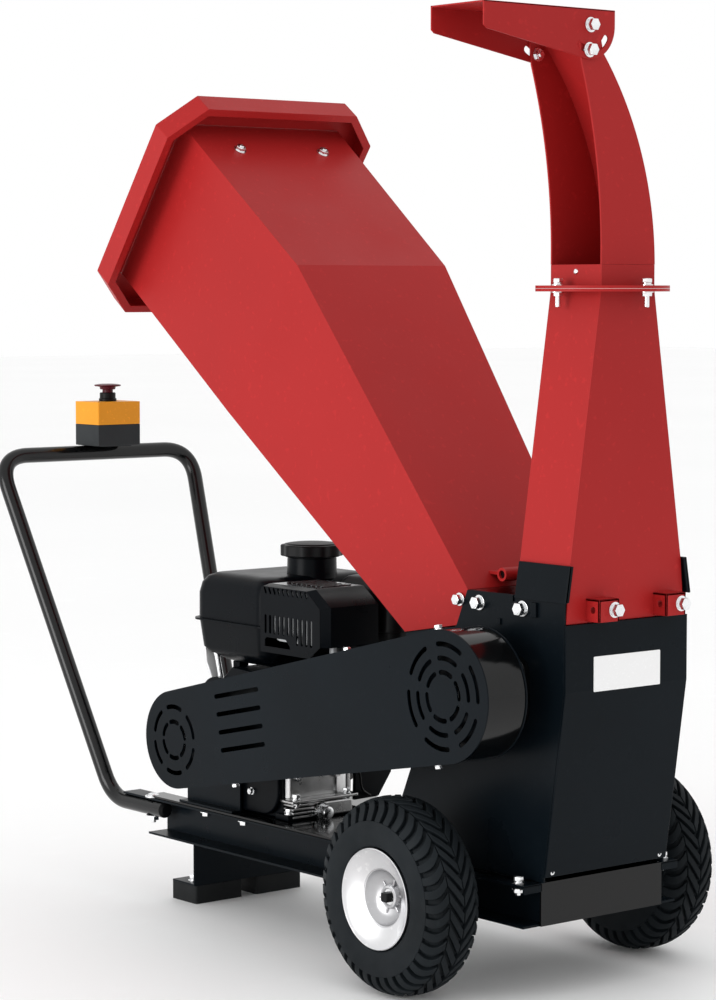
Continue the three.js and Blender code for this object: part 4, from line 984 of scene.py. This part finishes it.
def lower_chute():
    low, high = span("lower_chute")
    body = bevel(pipe([(low.z, high.x), (563, 99), (FLANGE_Z - 0.5, CHUTE_HALF)]), 1.2, 2, 30)
    brackets = [p for x in CLAMP["x"] for p in bracket(x)]
    base = [body, flange(FLANGE_Z - FLANGE_T - 0.3), *brackets]
    piece("chute_base", base, RED, "machine", ["lower_chute"])
    y0 = CHUTE.y - CHUTE_HALF
    bolts = [hex_bolt((x + 9, y0 - CLAMP["deep"], 509), (0, -1, 0), 15) for x in CLAMP["x"]]
    bolts += bolt_ring(FLANGE_Z - FLANGE_T - 0.3, (0, 0, -1), 14)
    piece("chute_bolts", bolts, ZINC, "machine", ())


def cheek_outline():
    h = CHUTE_HALF
    points = [(-h, NECK_Z), (h, NECK_Z)]
    points += arc((h - BEND_BACK, NECK_Z - 4), BEND_BACK, 0.6, 38.4, 36)
    points += arc((PIVOT.x, PIVOT.z), 17, 20, 170, 20)
    points += arc((-h - BEND_FRONT, NECK_Z + 16), BEND_FRONT, 17.5, 0, 36)
    return points


def upper_chute():
    h, y0, y1 = CHUTE_HALF, CHUTE.y - CHUTE_HALF, CHUTE.y + CHUTE_HALF
    neck = bevel(pipe([(FLANGE_Z, h), (NECK_Z, h)]), 0.8, 2, 30)
    holes = [circle((PIVOT.x, PIVOT.z), 4.3, 24), circle(LOCK, 4.3, 24)]
    cheeks = [bevel(prism("y", cheek_outline(), a, a + SKIN, holes), 0.6, 2, 50) for a in (y0, y1 - SKIN)]
    centre = (h - BEND_BACK, NECK_Z - 4)
    curve = arc(centre, BEND_BACK, 0.6, BEND_END, 44)
    inner = arc(centre, BEND_BACK - SKIN, BEND_END, 0.6, 44)
    back = prism("y", curve + inner, y0 + 0.4, y1 - 0.4)
    bend = [neck, flange(FLANGE_Z), *cheeks, back]
    piece("chute_bend", bend, RED, "chute", ["upper_chute"], 30)
    rivet = dome_bolt((-h, CHUTE.y, FLANGE_Z + 21), (-1, 0, 0), 4, 2)
    piece("flange_bolts", bolt_ring(FLANGE_Z + FLANGE_T, (0, 0, 1)) + [rivet], ZINC, "chute", ())


def spout():
    x, z = PIVOT.x, PIVOT.z
    r = SPOUT_HIGH.x - x
    x0, roof = SPOUT_LOW.x, SPOUT_HIGH.z
    t = 2.2
    outline = [(x0, roof), (x0, 1231), (x0 + 5, 1227)] + arc((x, z), r, -100, 0, 32) + [(x + r, roof)]
    holes = [circle((x, z), 4.3, 24), arc_slot((x, z), LOCK_R, 8.8, -126, -30, 20)]
    cheeks = [prism("y", outline, a, a + t, holes) for a in (SPOUT_LOW.y, SPOUT_HIGH.y - t)]
    lid = block(x0, x + r, SPOUT_LOW.y, SPOUT_HIGH.y, roof - t, roof)
    piece("spout", [bevel(p, 0.6, 2, 50) for p in (*cheeks, lid)], RED, "spout", ["deflector"])
    bolts = []
    for at in ((x, z), LOCK):
        bolts.append(hex_bolt((at[0], SPOUT_LOW.y - 0.3, at[1]), (0, -1, 0), 14))
        bolts.append(nut((at[0], SPOUT_HIGH.y + 0.3, at[1]), (0, 1, 0), 13, 3))
        for y, way in ((SPOUT_LOW.y - 1, 1), (SPOUT_HIGH.y + 1, -1)):
            stud = lathe("z", [(0, 0), (4, 0), (4, 13), (3.2, 14), (0, 14)], sides=20)
            bolts.append(moved(stud, towards((0, way, 0), (at[0], y, at[1]))))
            bolts.append(nut((at[0], y + way * (SKIN + 3.6), at[1]), (0, way, 0), 12, 1))
    piece("spout_bolts", bolts, ZINC, "chute", ["deflector_bolt"])


# ---- Stage --------------------------------------------------------------------------------------
def lamp(name, at, target, size, power):
    data = bpy.data.lights.new(name, "AREA")
    data.shape = "RECTANGLE"
    data.size, data.size_y = size
    data.energy = power
    made = bpy.data.objects.new(name, data)
    aim = (Vector(at) - Vector(target)).to_track_quat("Z", "Y")
    made.matrix_world = Matrix.Translation(at) @ aim.to_matrix().to_4x4()
    bpy.context.scene.collection.objects.link(made)


def studio():
    floor = bpy.data.meshes.new("floor")
    made = bmesh.new()
    bmesh.ops.create_grid(made, x_segments=2, y_segments=2, size=30)
    made.to_mesh(floor)
    made.free()
    pale = surface("pale_floor", (0.97, 0.97, 0.97), 0.6, vary=0.01, cloud=0.5, grain=60, bump=0.01)
    floor.materials.append(pale)
    ground = bpy.data.objects.new("floor", floor)
    bpy.context.scene.collection.objects.link(ground)
    world = bpy.data.worlds.new("studio")
    world.use_nodes = True
    world.node_tree.nodes["Background"].inputs["Color"].default_value = (1, 1, 1, 1)
    world.node_tree.nodes["Background"].inputs["Strength"].default_value = 1.0
    bpy.context.scene.world = world
    lamp("key", (-5, 0.4, 1.2), (0, 0, 0.7), (2.5, 2.5), 110)
    bpy.context.scene.view_settings.view_transform = "Standard"


def camera():
    """The camera stands low, in front of the machine and to its left."""
    azimuth, drop = math.radians(39.06), math.radians(4.21)
    eye = TO_ROW @ Vector((-2556.4, -2804.2, 912.1))
    ahead = Vector((math.sin(azimuth) * math.cos(drop), math.cos(azimuth) * math.cos(drop), -math.sin(drop)))
    data = bpy.data.cameras.new("camera")
    data.lens = 102.9
    data.sensor_width = 36
    made = bpy.data.objects.new("camera", data)
    made.matrix_world = Matrix.Translation(eye) @ (-ahead).to_track_quat("Z", "Y").to_matrix().to_4x4()
    bpy.context.scene.collection.objects.link(made)
    bpy.context.scene.camera = made


# ---- Assembly -----------------------------------------------------------------------------------
camera()
studio()
wheels()
handle()
stop_switch()
chassis()
housing()
guard()
engine()
hopper()
lower_chute()
upper_chute()
spout()
